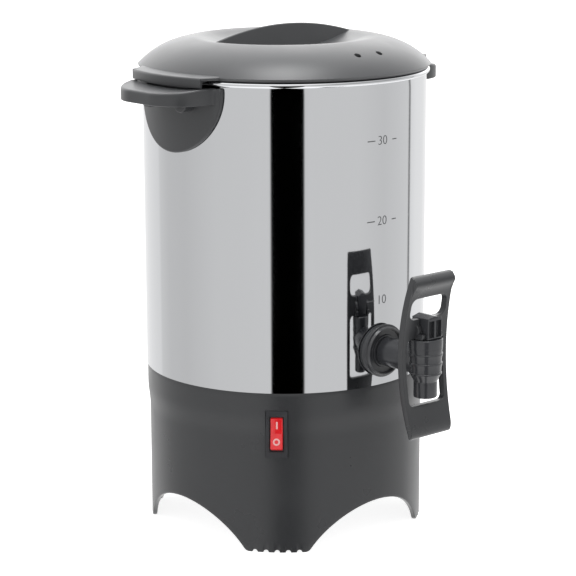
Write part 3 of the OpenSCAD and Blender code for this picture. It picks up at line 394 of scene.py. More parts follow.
def length(name, description, millimetres):
    """A length property whose default is given in millimetres."""
    return bpy.props.FloatProperty(name=name, description=description, default=millimetres * MM,
                                   min=0.0, subtype="DISTANCE", unit="LENGTH")


def colour(name, description, code):
    """A colour property whose default is an sRGB hex value."""
    return bpy.props.FloatVectorProperty(name=name, description=description, default=linear(code),
                                         size=3, min=0.0, max=1.0, subtype="COLOR")


class UrnSizes(bpy.types.PropertyGroup):
    """Main sizes of the urn."""
    tank_diameter: length("Tank diameter", "Outside of the steel tank", 195)
    tank_wall: length("Tank sheet", "Thickness of the tank sheet", 1)
    rim_height: length("Rim height", "Middle of the rolled rim above the table", 316.8)
    base_height: length("Base height", "Joint of skirt and tank above the table", 112)
    skirt_radius: length("Skirt radius", "Outside of the skirt under the tank", 97)
    skirt_step: length("Skirt step", "How far the lower skirt steps in", 1.4)
    arch_radius: length("Arch radius", "Radius of the arches between the feet", 58)
    arch_crown: length("Arch crown", "Top of the arches above the table", 30)
    lid_radius: length("Lid radius", "Outside of the lid's edge", 100.35)
    lid_underside: length("Lid underside", "Height of the lid's lower edge", 319)
    dome_rise: length("Dome rise", "Height of the dome above the lid's edge", 19.7)
    ridge_top: length("Ridge top", "Height of the top of the finger ridge", 347.45)
    tap_reach: length("Tap reach", "Distance of the tap's barrel from the urn's axis", 139.2)
    tap_height: length("Tap height", "Height of the tap's shank", 135.7)
    lever_width: length("Lever width", "Width of the lever at its middle", 40.8)
    lever_bottom: length("Lever bottom", "Height of the lever's lower end", 85.9)
    lever_height: length("Lever height", "Length of the lever frame", 109.7)


class UrnColours(bpy.types.PropertyGroup):
    """Colours of the urn's finishes."""
    skirt: colour("Skirt plastic", "Moulded polypropylene of the base", "#37383A")
    lid: colour("Lid plastic", "Moulded polypropylene of the lid", "#3F4042")
    grip: colour("Grip plastic", "Moulded phenolic of the side grips", "#3C3D3F")
    tap: colour("Tap plastic", "Moulded polypropylene of the tap", "#3B3C3F")
    lever: colour("Lever plastic", "Moulded nylon of the lever", "#3A3B3D")
    switch: colour("Switch frame", "Moulded nylon of the switch frame and the inlet", "#36373A")
    # The rocker's red is brightened in its finish by a painted glow; no lamp lights it
    rocker: colour("Rocker", "Tinted polycarbonate of the lit rocker", "#D01C22")
    mark: colour("Switch marks", "Printed I and O", "#F3B9B6")
    steel: colour("Stainless steel", "Polished sheet of the tank", "#C9CACC")
    level: colour("Level marks", "Etched level marks on the tank", "#6B6C6E")


def sizes():
    """Main sizes in millimetres."""
    group = bpy.context.scene.urn_sizes
    return {name: getattr(group, name) / MM for name in UrnSizes.__annotations__}


# ---------- Finishes ----------


# Each finish as surface() takes it: material, colour (a user's colour or sRGB), roughness, metal, mottle and
# grain, and for some of them a few more settings
LOOKS = {
    # Moulded polypropylene, spark-eroded mould: a fine even grain that keeps highlights wide and soft
    "skirt": ("satin_polypropylene_skirt", "skirt", 0.3, 0, (60, 0.05), (0.9, 0.03)),
    "lid": ("satin_polypropylene_lid", "lid", 0.34, 0, (55, 0.05), (0.9, 0.03)),
    # Phenolic, compression moulded: a touch duller than the skirt, with a shallower grain
    "grip": ("satin_phenolic_grip", "grip", 0.38, 0, (40, 0.05), (0.8, 0.02)),
    # Polypropylene from a polished mould: half gloss, with narrow highlights on the barrel's rings
    "tap": ("half_gloss_polypropylene_tap", "tap", 0.2, 0, (25, 0.05), (0.7, 0.01)),
    # Nylon: satin, so that the bowed frame fades softly from its lit head down
    "lever": ("satin_nylon_lever", "lever", 0.3, 0, (30, 0.05), (0.8, 0.02)),
    "switch": ("black_nylon_frame", "switch", 0.3, 0, (20, 0.05), (0.7, 0.01)),
    # Tinted polycarbonate, bright and glossy, with a faint mottle; a painted glow of its own red brightens it
    # without a lamp
    "rocker": ("red_polycarbonate_rocker", "rocker", 0.18, 0, (3, 0.12), (0.6, 0.0),
               {"glow": 0.25, "coat": 0.4}),
    # Pad print and etching: flat, dull marks beside the gloss around them
    "mark": ("white_pad_print", "mark", 0.5, 0, (2, 0.03), (0.5, 0.005)),
    "level": ("etched_steel_mark", "level", 0.55, 0.6, (2, 0.1), (0.5, 0.01)),
    # Stainless sheet, mirror polished after drawing: faint vertical polishing waves and small smudges
    "steel": ("polished_stainless_sheet", "steel", 0.055, 1, (70, 0.012), (26, 0.006),
              {"spread": 0.02, "stretch": (1, 1, 0.25)}),
    # Zinc, rolled and spun aluminium: grey metals whose highlights are broken up by a fine grain
    "zinc": ("zinc_plated_steel", "#A9ABAD", 0.32, 1, (4, 0.08), (0.7, 0.01)),
    "aluminium": ("rolled_aluminium", "#B9BBBD", 0.36, 1, (14, 0.05), (0.8, 0.01)),
    "basket": ("spun_aluminium", "#BFC1C3", 0.3, 1, (20, 0.04), (1.5, 0.01)),
    # Steel sheath that has glowed: brownish, blotched and dull
    "sheath": ("oxidised_heater_sheath", "#6E665F", 0.55, 1, (9, 0.18), (0.8, 0.02)),
    # Cut brass: warm yellow edges at the terminals
    "brass": ("cut_brass", "#B9933F", 0.34, 1, (4, 0.08), (0.6, 0.01)),
    # Glazed ceramic and natural nylon: cream, the first with the sharper highlights
    "ceramic": ("glazed_ceramic", "#D9D2C0", 0.3, 0, (6, 0.04), (0.8, 0.01)),
    "nylon": ("natural_nylon", "#D8D5CB", 0.45, 0, (8, 0.04), (0.8, 0.01)),
    # Silicone seals: matt grey, and a milky clear one
    "gasket": ("grey_silicone_gasket", "#4A4B4D", 0.6, 0, (6, 0.06), (0.8, 0.02)),
    "silicone": ("clear_silicone", "#D3CFC4", 0.4, 0, (6, 0.04), (0.8, 0.01)),
}
MADE = {}


def finish(look):
    """A finish by name, made the first time that it is asked for."""
    if look not in MADE:
        name, tint, rough, metal, mottle, grain, *more = LOOKS[look]
        chosen = bpy.context.scene.urn_colours
        tint = linear(tint) if tint.startswith("#") else tuple(getattr(chosen, tint))
        MADE[look] = surface(name, tint, rough, metal, mottle, grain, **(more[0] if more else {}))
    return MADE[look]


# ---------- Pieces ----------


class URN_OT_tank(bpy.types.Operator):
    """Steel tank: one sheet section with a rolled rim and a well in the floor, carried round Z"""
    bl_idname = "urn.tank"
    bl_label = "Tank"

    def execute(self, context):
        size = sizes()
        out, sheet = size["tank_diameter"] / 2, size["tank_wall"]
        low, rim, bead = size["base_height"], size["rim_height"], 1.9
        inside, floor, well, well_r = out - sheet, low + 4, low - 8, 25
        inner = fillet([(0, well), (well_r, well), (well_r, floor), (inside, floor), (inside, rim - 1.4),
                        (0, rim)], [0, 2, 2, 4, 0, 0], 6)[6:30]
        well_r += sheet
        under = fillet([(0, rim), (inside, low), (inside, floor - sheet), (well_r, floor - sheet),
                        (well_r, well - sheet), (0, well - sheet)], [0, 0, 2, 2, 2, 0], 6)[6:36]
        wall = np.stack([np.full(40, out), np.linspace(low, rim - bead, 40)], -1)
        roll = arc((out + 0.3, rim), bead, -99, 227, 28)
        shells = [revolve(np.vstack([under[::-1], wall, roll, inner[::-1]]), 360)]
        stud_r, stud_z, top_z, from_axis = 2, 93, floor - 0.5, 80
        stud = fillet([(0, stud_z), (stud_r, stud_z), (stud_r, top_z), (0, top_z)], [0, 0.4, 0, 0], 3)
        for az in (90, 210, 330):
            shells.append(at_az(moved(revolve(stud, 24), (0, -from_axis, 0)), az))
        make("tank_shell", shells, "steel", "base", "tank_steel", ("tank",), 40)
        return {"FINISHED"}


def skirt_edge(az, radius, size, toe=4.0, notch=1.8, pitch=7.6, notches=2):
    """Height of the skirt's lower edge at each angle.

    Between two feet it follows the arch's circle; past the point where that touches the toe's small
    circle it follows the toe; then the foot is flat, apart from round notches side by side.
    """
    rise = size["arch_radius"] - size["arch_crown"]
    across = radius * np.abs(np.sin(np.radians((az + 45) % 90 - 45)))
    arch = np.sqrt(np.maximum(size["arch_radius"] ** 2 - across ** 2, 0)) - rise
    toe_x = math.sqrt((size["arch_radius"] + toe) ** 2 - (toe + rise) ** 2)
    touch = toe_x * size["arch_radius"] / (size["arch_radius"] + toe)
    rounded = toe - np.sqrt(np.maximum(toe ** 2 - (toe_x - across) ** 2, 0))
    edge = np.where(across < touch, arch, np.where(across < toe_x, rounded, 0))
    along = radius * np.radians(az % 90 - 45)
    beside = along - pitch * np.clip(np.round(along / pitch), -notches, notches)
    return np.maximum(edge, np.sqrt(np.maximum(notch ** 2 - beside ** 2, 0)))


class URN_OT_base_skirt(bpy.types.Operator):
    """Base skirt: wall radius and edge height as functions of the angle, on a grid of angle and height"""
    bl_idname = "urn.base_skirt"
    bl_label = "Base skirt"

    def execute(self, context):
        size = sizes()
        top_r, top = size["skirt_radius"], size["base_height"]
        low_r, shoulder, shoulder_h, ledge_r = top_r - size["skirt_step"], 80.5, 17.5, 88
        thick, round_r, top_round = 3.0, 0.8, 0.6
        # angle, middle height, half width, half height and distance of each flat pocket
        pockets = [(-45, 83.6, 7.6, 16.55, 95.197), (180, 62, 27, 14, 91.81)]

        def wall(height):
            """Outer radius: lower wall, a soft shoulder, upper wall; flat where a pocket is cut."""
            radius = low_r + (top_r - low_r) * smooth_step((height - shoulder) / shoulder_h)
            for middle, at, half_w, half_h, flat in pockets:
                off = np.radians((az - middle + 180) % 360 - 180)
                inside = (np.abs(flat * np.tan(np.clip(off, -1, 1))) < half_w) & (np.abs(off) < 1)
                inside &= np.abs(height - at) < half_h
                radius = np.where(inside, np.minimum(radius, flat / np.cos(off)), radius)
            return radius

        # Columns crowd at the notched feet, and a pair of rows or columns stands at each edge of a pocket
        pair, foot_half, crowd = (-0.01, 0.01), 13, 3.5
        even = np.linspace(0, 360, 3601)
        density = 1 + crowd * (np.abs(even % 90 - 45) < foot_half)
        share = np.concatenate([[0], np.cumsum(density)[:-1]])
        az = np.interp(np.linspace(0, share[-1], 1300, endpoint=False), share, even)
        sides = [middle + sign * (math.degrees(math.asin(half / low_r)) + step)
                 for middle, _, half, _, _ in pockets for sign in (-1, 1) for step in pair]
        az = np.unique(np.round(np.concatenate([az, np.array(sides) % 360]), 4))
        edges = [at + sign * (half + step)
                 for _, at, _, half, _ in pockets for sign in (-1, 1) for step in pair]
        fixed = np.unique(np.concatenate([np.linspace(47, top - top_round, 26), edges]))[::-1]

        # Rows go down the outside, round the edge, up the inside and over the ledge that carries the tank
        low = skirt_edge(az, low_r, size)
        heights = [np.full_like(az, h) for h in fixed]
        heights += [fixed[-1] + (low + round_r - fixed[-1]) * s for s in np.linspace(0, 1, 9)[1:]]
        rows = [(wall(h), h) for h in heights]
        last = rows[-1][0]
        rows += [(last - rise, low + inset) for inset, rise in quarter(round_r)[1:]]
        last = np.minimum(last, low_r) - thick
        rows += [(last + inset, low + rise) for inset, rise in quarter(round_r)]
        rows += [(wall(h) - thick, h) for h in heights[::-1] if h.min() < top - thick - 1]
        ledge = [(top_r - thick, top - thick), (ledge_r, top - thick), (ledge_r, top),
                 (top_r - top_round, top), (top_r - 0.3 * top_round, top - 0.3 * top_round)]
        rows += [(np.full_like(az, r), np.full_like(az, h)) for r, h in ledge]
        radius, height = np.array(rows).transpose(1, 0, 2)
        make("base_skirt_wall", [lattice(around(radius, np.radians(az), height), wrap_u=True, wrap_v=True)],
             "skirt", "base", "base_plastic", ("base_skirt",), 38)
        return {"FINISHED"}


class URN_OT_lid(bpy.types.Operator):
    """Lid: the lower of a dome and two finger scoops, blended softly, with a lens-shaped ridge and tabs"""
    bl_idname = "urn.lid"
    bl_label = "Lid"

    def execute(self, context):
        size = sizes()
        radius, under, rise = size["lid_radius"], size["lid_underside"], size["dome_rise"]
        edge, wall, power, soft = under + 2.0, 2.6, 5.3, 2.2
        ball_r, ball_y, outline = 215.0, 3.0, 65.0
        ball_z = edge + rise + math.sqrt(ball_r ** 2 - outline ** 2)

        def dome(across, r=radius, h=rise):
            """Height of the dome: h (1 - (x / r) ^ power) above the edge."""
            return edge + h * (1 - np.minimum(across / r, 1) ** power)

        def scoop(x, y):
            """Underside of a ball that stands across the ridge from this side."""
            return ball_z - np.sqrt(ball_r ** 2 - x ** 2 - (np.abs(y) + ball_y) ** 2)

        def lower(a, b):
            """The lower of two heights, rounded where they cross: min - k/4 (1 - |a-b|/k)^2."""
            near = np.maximum(soft - np.abs(a - b), 0) / soft
            return np.minimum(a, b) - near * near * soft / 4

        turn = np.linspace(0, 2 * np.pi, 420, endpoint=False)

        def skin(out, inset):
            """Dome and scoops over rings of these radii, set in by a wall."""
            x, y = np.outer(np.cos(turn), out), np.outer(np.sin(turn), out)
            height = lower(dome(out, radius - inset, rise - inset)[None], scoop(x, y) - inset)
            return carried(turn, out, height)

        share = np.sin(np.linspace(0, 1, 96) * np.pi / 2)
        plug, plug_in, plug_low = 95, 92.8, under - 7
        lip = fillet([(radius, edge), (radius, edge - 0.15), (radius - 1.5, under), (plug, under),
                      (plug, plug_low), (plug_in, plug_low), (plug_in, edge)],
                     [0, 0.3, 0.3, 0.3, 0.5, 0.5, 0], 4)[5:30]
        rows = [skin(radius * share, 0), carried(turn, *lip.T), skin((radius - wall - 5) * share[::-4], wall)]
        shells = [lattice(np.concatenate(rows, 1), wrap_u=True), self.ridge(size["ridge_top"], scoop, dome)]
        shells += [at_az(tab, side) for tab in self.tabs(radius, under, edge, wall) for side in (-91, 91)]
        lid = make("lid_shell", shells, "lid", "lid", "lid_plastic", ("lid",), 40)
        vent_r, vent_x, vent_y, start, stop = 2.25, 9.7, -83.2, 315, 345
        vent = revolve([(0, start), (vent_r, start), (vent_r, stop), (0, stop)], 40)
        carve(lid, "lid", [moved(vent, (x, vent_y, 0)) for x in (-vent_x, vent_x)])
        return {"FINISHED"}

    def ridge(self, high, scoop, dome):
        """At each x a blunt wedge under the crest's arc, its foot sunk in the scoop's wall."""
        crest_r, half, sunk, far_down = 222, 64, 1.4, 99
        nose_r, nose_y, nose_drop, steep = 1.4, 1.33, 0.97, 2.58
        x = np.linspace(-half, half, 97)
        crest = high - crest_r + np.sqrt(crest_r ** 2 - x ** 2)
        foot = np.minimum(scoop(x, np.full_like(x, 7.0)), dome(np.abs(x))) - sunk
        a = np.radians(np.linspace(-72, 72, 15))
        side = np.maximum(nose_y + (crest - nose_drop - foot) / steep, nose_y)[:, None]
        nose = np.broadcast_to(nose_r * np.sin(a), (len(x), 15))
        y = np.hstack([-side, -side, nose, side, side])
        # The outermost point on each side would lie far down, so it ends on the foot
        down = np.hstack([side * 0 + far_down, nose_drop + (side - nose_y) * steep,
                          nose * 0 + nose_r - nose_r * np.cos(a)])
        height = np.maximum(crest[:, None] - np.hstack([down, down[:, 1::-1]]), foot[:, None])
        return tube(np.stack([np.broadcast_to(x[:, None], height.shape), y, height], -1))

    def tabs(self, radius, under, edge, wall):
        """A side tab: a wall on its own circle under a sloping roof, whose ends run out at the lid's edge."""
        circle, centre, half, run = 105.0, 4.0, math.radians(19.5), math.radians(5.0)
        roof, low, eave = under - 0.7, under - 4.4, under + 0.5

        def reach(az):
            """Radius of the tab's circle as seen from the urn's axis."""
            return centre * np.cos(az) + np.sqrt(circle ** 2 - (centre * np.sin(az)) ** 2)

        def swept(az, far, corners):
            """A section of (added radius, height, on the far line or not, rounding) carried round the lid."""
            section = np.stack([np.stack([np.where(outer, far, radius) + dr, np.full_like(az, h)], -1)
                                for dr, h, outer, _ in corners], 1)
            section = fillet(section, [corner[3] for corner in corners], 4)
            return tube(around(section[..., 0], az[:, None], section[..., 1]))

        root = (-1.6, under + 0.9, 0, 0)
        crown = (-2.0, edge + 1.25, 0, 0)
        az = np.linspace(-half, half, 45)
        yield swept(az, reach(az), [root, (0.2, roof, 0, 0), (-wall, roof, 1, 0.6), (-wall, low, 1, 0.6),
                                    (0, low, 1, 0.6), (0, edge + 0.3, 1, 1.6), crown])
        share = np.linspace(0, 1, 13)
        far = radius + 0.4 + (reach(half) - radius - 0.4) * (1 - share)
        for sign in (-1, 1):
            yield swept(sign * (half + run * share), far,
                        [root, (0.2, eave, 0, 0), (0, eave, 1, 0.5), (0, edge + 0.3, 1, 0.8), crown])


class URN_OT_handles(bpy.types.Operator):
    """Side grips: a half-round plate wrapped on the tank, and a hollow shelf with a round outline"""
    bl_idname = "urn.handles"
    bl_label = "Side grips"

    def back_plate(self, inner, outer, top, disc=41.5, cut=3.5, spokes=9):
        """Rings of a disc cut off at the top, moved in by the rounding and wrapped on their row's radius."""
        over = math.degrees(math.asin(cut / disc))
        low = arc((0, top - cut), disc, 180 - over, 360 + over, 120)
        ends = fillet([low[-4], low[-1], low[0], low[3]], [0, 1.2, 1.2, 0])[6:18]
        outline = spaced(np.vstack([low[3:-3], ends]), 260)
        rows = np.pad(edge_rows(1.0, inner, outer), ((spokes, spokes), (0, 0)), "edge")
        inset, radius = rows.T[:, :, None]
        row = np.arange(len(radius))[:, None, None]
        middle = np.array([0, top - disc * 0.45])
        flat = outline + inward(outline) * inset[..., None] - middle
        x, z = np.moveaxis(middle + np.minimum(np.minimum(row, row[::-1]) / spokes, 1) * flat, -1, 0)
        return lattice(np.stack([x, -np.sqrt(radius ** 2 - x ** 2), z], -1), wrap_v=True)

    def grip(self, inner, outer, low, top, apex):
        """Bowl turned upside down: rings over the top, down the outside, round the rim and up the inside."""
        corner, centre, blend, wall, count = 27.0, 10.0, 4.0, 3.0, 420
        seat_half, room_half, tip, shoulder = 23, 19.8, 311.8, apex - 105.5
        half, corner_y = centre + corner, apex - corner
        blend_y = math.sqrt((outer + blend) ** 2 - (half + blend) ** 2)
        touch = outer / (outer + blend)
        end = math.degrees(math.atan2(blend_y * (1 - touch), (half + blend) * (touch - 1)))
        right = np.vstack([arc((centre, -corner_y), corner, -90, 0, 40),
                           arc((half + blend, -blend_y), blend, 180, end, 12)])
        seat = arc((0, 0), inner + 0.1, -90 + seat_half, -90 - seat_half, 40)
        outside = spaced(np.vstack([right, seat, right[::-1] * (-1, 1)]), count)
        inside = spaced(np.vstack([arc((centre, -corner_y), corner - wall, -90, 0, 40),
                                   arc((0, 0), outer - 0.5, -90 + room_half, -90 - room_half, 60),
                                   arc((-centre, -corner_y), corner - wall, 180, 270, 40)]), count)

        def roof(plan):
            """The top slopes down from its shoulder to the tip."""
            return tip + (top - tip) / shoulder * np.minimum(apex + plan[:, 1], shoulder)

        def rim(plan):
            """The lower edge is level."""
            return np.full(len(plan), low)

        def ring(plan, inset, level, up=0.0):
            """An outline moved in by an inset, so far over a level."""
            plan = plan + inward(plan) * inset
            return np.column_stack([plan, level(plan) + up])

        rows = [ring(outside, 2.3, roof)]
        rows += [ring(outside, rise, roof, -inset) for inset, rise in quarter(1.6, 5)[::-1]]
        rows += [ring(outside, inset, rim, rise) for inset, rise in quarter(0.6, 5)[::-1]]
        rows += [ring(inside, -inset, rim, rise) for inset, rise in quarter(0.5, 5)]
        rows += [ring(inside, inset, roof, -wall) for inset in (0, 0.8)]
        return tube(np.stack(rows))

    def rib(self):
        """Rib under the lid's tab: a section of radii and heights swept round the urn."""
        radius, height = np.array([(102, 309), (104.8, 309), (104.8, 316.6), (104.4, 317), (102.4, 317),
                                   (102, 316.6)], float).T
        return tube(around(radius, np.radians(np.linspace(-12, 12, 25))[:, None], height))

    def execute(self, context):
        size = sizes()
        inner = size["tank_diameter"] / 2 + 0.3
        outer, low = inner + 2.6, 303.6
        shells = [self.back_plate(inner, outer, size["rim_height"] - 2.8),
                  self.grip(inner, outer, low, 314.3, inner + 28.7), self.rib()]
        # Stiffening ribs under the shelf, and bosses for the screws
        for x, depth in ((-20, 20.5), (0, 23.5), (20, 20.5)):
            stiffener = plate(spaced(block(2, depth, 0.3), 60), low + 1, low + 6.2, 0.2)
            shells.append(moved(stiffener, (x, -outer - depth / 2, 0)))
        hole_r, boss_r, deep, boss_z, boss_az = 1.6, 5.2, 9, 303.0, 9.5
        boss = [(hole_r, 0, 0), (boss_r, 0, 0), (boss_r, deep, 0.5), (hole_r, deep, 0.3)]
        boss = outward(ring_of(boss, 48))
        shells += [at_az(moved(boss, (0, 1 - outer, boss_z)), az) for az in (-boss_az, boss_az)]
        for name, az in (("handle_left", -90), ("handle_right", 90)):
            make(name + "_shell", [at_az(shell, az) for shell in shells], "grip", "base", "handle_plastic",
                 (name,), 40)
        return {"FINISHED"}


class URN_OT_tap(bpy.types.Operator):
    """Tap: a ringed barrel with a spout, a round shank with a threaded tail, a dished collar and a bonnet"""
    bl_idname = "urn.tap"
    bl_label = "Tap"

    def execute(self, context):
        size = sizes()
        reach, at = size["tap_reach"], size["tap_height"]
        low, high, end, mouth_r, bore_r = at - 9.9, at + 10.35, at - 23.7, 11.25, 8.2
        barrel = [(7.8, end, 0.7), (7.8, low - 2.9, 1.5), (10.5, low + 2.2, 0.4)]
        # Three rings, each with its root under it: radius and height of the ring, and the same of its root
        for ring, up, root, start in ((10.9, 3.2, 10.7, 2.5), (11.15, 10.1, 10.65, 7.1),
                                      (11.33, 16.3, 10.83, 13.3)):
            barrel += [(root, low + start, 0), (ring, low + up - 1, 0.3), (ring, low + up, 0.45),
                       (ring - 0.5, low + up + 0.25, 0)]
        barrel += [(mouth_r, high, 0.1), (9.2, high, 0), (9.2, high - 1.3, 0), (bore_r, high - 1.3, 0),
                   (bore_r, low - 1.2, 0), (6.6, low - 1.2, 0), (6.6, low - 0.4, 0), (5.2, low - 0.4, 0),
                   (5.2, end, 0.5)]
        thread_r, root_r, half_pitch, shank_r, pipe_r = 8, 7.35, 0.75, 9.75, 5
        nut_end, shank_end, shank_y, collar_y = 16.8, 48.3, -103.0, -99.6
        thread = [(thread_r if k % 2 else root_r, half_pitch * k) for k in range(13)]
        pipe = revolve([(pipe_r, 0), *thread, (thread_r, 10.5), (thread_r, nut_end), (shank_r, nut_end),
                        (shank_r, shank_end), (pipe_r, shank_end), (pipe_r, 0)])
        self.part("body", "barrel", [moved(ring_of(barrel), (0, -reach, 0)),
                                     moved(outward(pipe), (0, shank_y + nut_end, at))])
        collar = [(8.3, 0, 0), (18, 0, 0.3), (18, 1.2, 0.4), (16.5, 1.6, 0.4), (16.0, 3.4, 0.35),
                  (15.1, 3.4, 0.35), (14.5, 0.8, 0.5), (11.1, 0.8, 0.4), (10.8, 2.3, 0.3), (9.9, 2.3, 0.2),
                  (8.3, 2.3, 0)]
        self.part("collar", "collar_ring", [moved(outward(ring_of(collar)), (0, collar_y, at))])
        lid_low, lid_high = high + 3.95, high + 5.95
        bonnet = [(mouth_r, high, 0.1), (11.33, lid_high, 0.7), (2.3, lid_high, 0.3), (2.3, lid_low, 0),
                  (bore_r, lid_low, 0), (bore_r, high, 0)]
        self.part("bonnet", "bonnet_ring", [moved(ring_of(bonnet, steps=5), (0, -reach, 0))])
        self.stem(reach, at, low, high)
        self.soft_parts(reach)
        return {"FINISHED"}

    def part(self, replaced, name, shells, body="base"):
        """One of the tap's plastic pieces."""
        return make("tap_" + name, shells, "tap", body, "tap_plastic", ("tap_" + replaced,), 38)

    def soft_parts(self, reach, stroke=2.6):
        """Spring and seat cup: copies of their CAD meshes, each with a mesh of its own."""
        for name, look, slot, fixed in (("tap_spring", "zinc", "screw_steel", 149.8),
                                        ("seat_cup", "silicone", "silicone_clear", 145.85)):
            piece = copied(name, look, "base", slot, 40)
            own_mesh(piece)

    def stem(self, reach, at, low, high):
        """Stem with its spring foot, and the cap: rings of a block whose last ones close to a ridge."""
        wide, deep, foot, cap, eave, ridge = 12.5, 15.4, high - 4.5, at + 16.6, at + 30.7, at + 32.1
        round_r, rod_r, foot_r, middle_y, pin = 0.4, 2, 4.2, -0.8, (0, 2.2 - reach, cap + 5.2)
        plan = block(wide, deep, 0.7, 6)

        def ring(inset, height, shut=0.0):
            """The block's outline moved in by an inset, and drawn together toward the ridge."""
            flat = (plan + inward(plan) * inset) * (1 - shut, 1)
            return np.column_stack([flat, np.full(len(flat), height)])

        rows = [ring(1.0, cap)] + [ring(inset, cap + rise) for inset, rise in quarter(round_r)]
        rows += [ring(rise, eave - inset) for inset, rise in quarter(round_r)]
        rows += [ring(round_r, eave + (ridge - eave) * s, s) for s in (0.06, 0.3, 0.6, 0.9, 1.0)]
        points, faces = lattice(np.stack(rows), wrap_v=True)
        head = moved((points, faces + [list(range(len(plan)))]), (0, middle_y, 0))
        rod = revolve([(0, low + 1.5), (rod_r, low + 1.5), (rod_r, foot), (foot_r, foot), (foot_r, foot + 1),
                       (rod_r, foot + 1), (rod_r, cap + 1.6), (0, cap + 1.6)], 48)
        piece = self.part("stem", "stem_cap", [moved(shell, (0, -reach, 0)) for shell in (head, rod)], "stem")
        bore = sideways(revolve([(0, -wide), (1.55, -wide), (1.55, wide), (0, wide)], 48))
        pocket = plate(block(4.75, 6, 0.5), cap + 1.2, cap + 12.4, 0.3)
        carve(piece, "tap", [moved(bore, pin)] + [moved(pocket, (x, middle_y - reach - deep / 2, 0))
                                                  for x in (-3.2, 3.2)], 38)


class URN_OT_lever(bpy.types.Operator):
    """Lever: a bowed frame as rings between its outline and its window, and two cheeks with cam feet"""
    bl_idname = "urn.lever"
    bl_label = "Lever"

    def execute(self, context):
        size = sizes()
        width, low, tall = size["lever_width"], size["lever_bottom"], size["lever_height"]
        high, middle, bulge = low + tall, low + tall / 2, 2
        pin_y, pin_z, rounding = 2.2 - size["tap_reach"], low + 71.6, 0.6
        side_r = ((tall / 2) ** 2 + bulge ** 2) / (2 * bulge)

        def side_at(z, inset=0.0):
            """Points of the right side, an arc that stands furthest out at the middle."""
            return np.stack([np.sqrt((side_r - inset) ** 2 - (z - middle) ** 2) - side_r + width / 2, z], -1)

        def side(start, stop, count, inset=0.0):
            """Points spaced evenly up a part of the side."""
            return stretched(side_at(np.linspace(start, stop, 40), inset), count)

        def rounded(points, radii):
            """An open line with rounded corners."""
            return fillet(points, radii, 8)[9:-9]

        def corner(first, turn, last, radius):
            """The arc between two straight sides, which are made longer, so that it may use all of them."""
            first, turn, last = np.array([first, turn, last], float)
            return rounded([2 * first - turn, turn, 2 * last - turn], [0, radius, 0])

        # Frame and window from the bottom up, in stretches whose points face each other
        leg, low_z, cap_z, web_z, top_z, slot = 3.6, pin_z - 50, pin_z - 5.2, pin_z + 8.2, pin_z + 22.6, 6.55
        toe = [corner((0, low), side_at(low), side_at(low + 9), 1.6),
               side_at(np.linspace(low + 9, low + 15, 40))]
        crown = corner(side_at(high - 9), side_at(high), (0, high), 1.4)
        outer = [stretched(np.vstack(toe), 60), side(low + 15, cap_z - 4, 50), side(cap_z - 4, web_z + 4, 70),
                 side(web_z + 4, high - 9, 16), stretched(crown, 60)]
        sill = corner((0, low_z), side_at(low_z, leg), side_at(low_z + 6, leg), 4)
        notch = rounded([side_at(cap_z - 9, leg), side_at(cap_z, leg), (slot, cap_z), (slot, web_z),
                         side_at(web_z, leg), side_at(web_z + 10, leg)], [0, 4, 0.9, 0.9, 4.6, 0])
        head = corner(side_at(top_z - 6, leg), side_at(top_z, leg), (0, top_z), 5)
        inner = [stretched(sill, 60), side(low_z + 6, cap_z - 5, 50, leg), stretched(notch, 70),
                 side(web_z + 5, top_z - 6, 16, leg), stretched(head, 60)]

        def closed(parts, end):
            """The right half from the bottom to the top, then its mirror image back down."""
            right = np.vstack([*parts, [(0, end)]])
            return np.vstack([right, right[-2:0:-1] * (-1, 1)])

        outer, inner = closed(outer, high), closed(inner, top_z)
        outer_in, inner_in = inward(outer), -inward(inner)
        rear_r, rear_y, sheet, roll, roll_z, roll_h = 170, 3.4, 4.8, 2.6, high - 5.5, 4.2
        head_run, toe_run = 6.0, 8.5

        def depth(plan, inset):
            """Middle and half thickness at each height.

            The rear is an arc. The thickness is that of the sheet, plus a rolled head that is a bell curve of
            the height. At both ends the front runs back to the rear in a quarter ellipse.
            """
            z = plan[:, 1]
            rear = rear_y - rear_r + np.sqrt(rear_r ** 2 - (z - middle) ** 2)
            end = np.clip(1 - np.minimum((high - z) / head_run, (z - low) / toe_run), 0, 1)
            thick = (sheet + roll * np.exp(-((z - roll_z) / roll_h) ** 2)) * np.sqrt(1 - end ** 2)
            half = np.maximum(thick / 2 - rounding * (1 - math.sqrt(1 - (1 - inset / rounding) ** 2)), 0.05)
            return rear - thick / 2 + pin_y, half

        insets = rounding * (1 - np.sin(np.radians([90, 67, 45, 22, 0])))
        shares = [0.025, 0.06, 0.1, 0.15, 0.21, 0.3, 0.42, 0.56, 0.7, 0.83, 0.93]
        first, last = outer + outer_in * rounding, inner + inner_in * rounding
        rows = [(outer + outer_in * inset, inset) for inset in insets]
        rows += [(first + (last - first) * share, rounding) for share in shares]
        rows += [(inner + inner_in * inset, inset) for inset in insets[::-1]]
        face = []
        for sign in (-1, 1):
            for plan, inset in rows[::-sign]:
                y, half = depth(plan, inset)
                face.append(np.stack([plan[:, 0], y + sign * half, plan[:, 1]], -1))
        shells = [lattice(np.stack(face), wrap_u=True, wrap_v=True)]

        # Cheek: a round boss at the pin over a foot with the cam's round corners
        front, rear, under, cam, cheek = 8.47, 6.5, 5.2, 1.5, 3.2
        boss = arc((0, 0), 5, -17.5, 197.5, 60)
        outline = np.vstack([[(-front, -under), (rear, -under), (rear, -1.5)], boss, [(-front, -1.5)]])
        outline = spaced(fillet(outline, [cam, cam, 0.5] + [0] * len(boss) + [0.5]), 260)
        for x in (slot, -slot - cheek):
            shells.append(moved(sideways(plate(outline, 0, cheek, 0.35)), (x, pin_y, pin_z)))
        make("tap_lever_frame", shells, "lever", "lever", "lever_plastic", ("tap_lever",), 40)
        return {"FINISHED"}


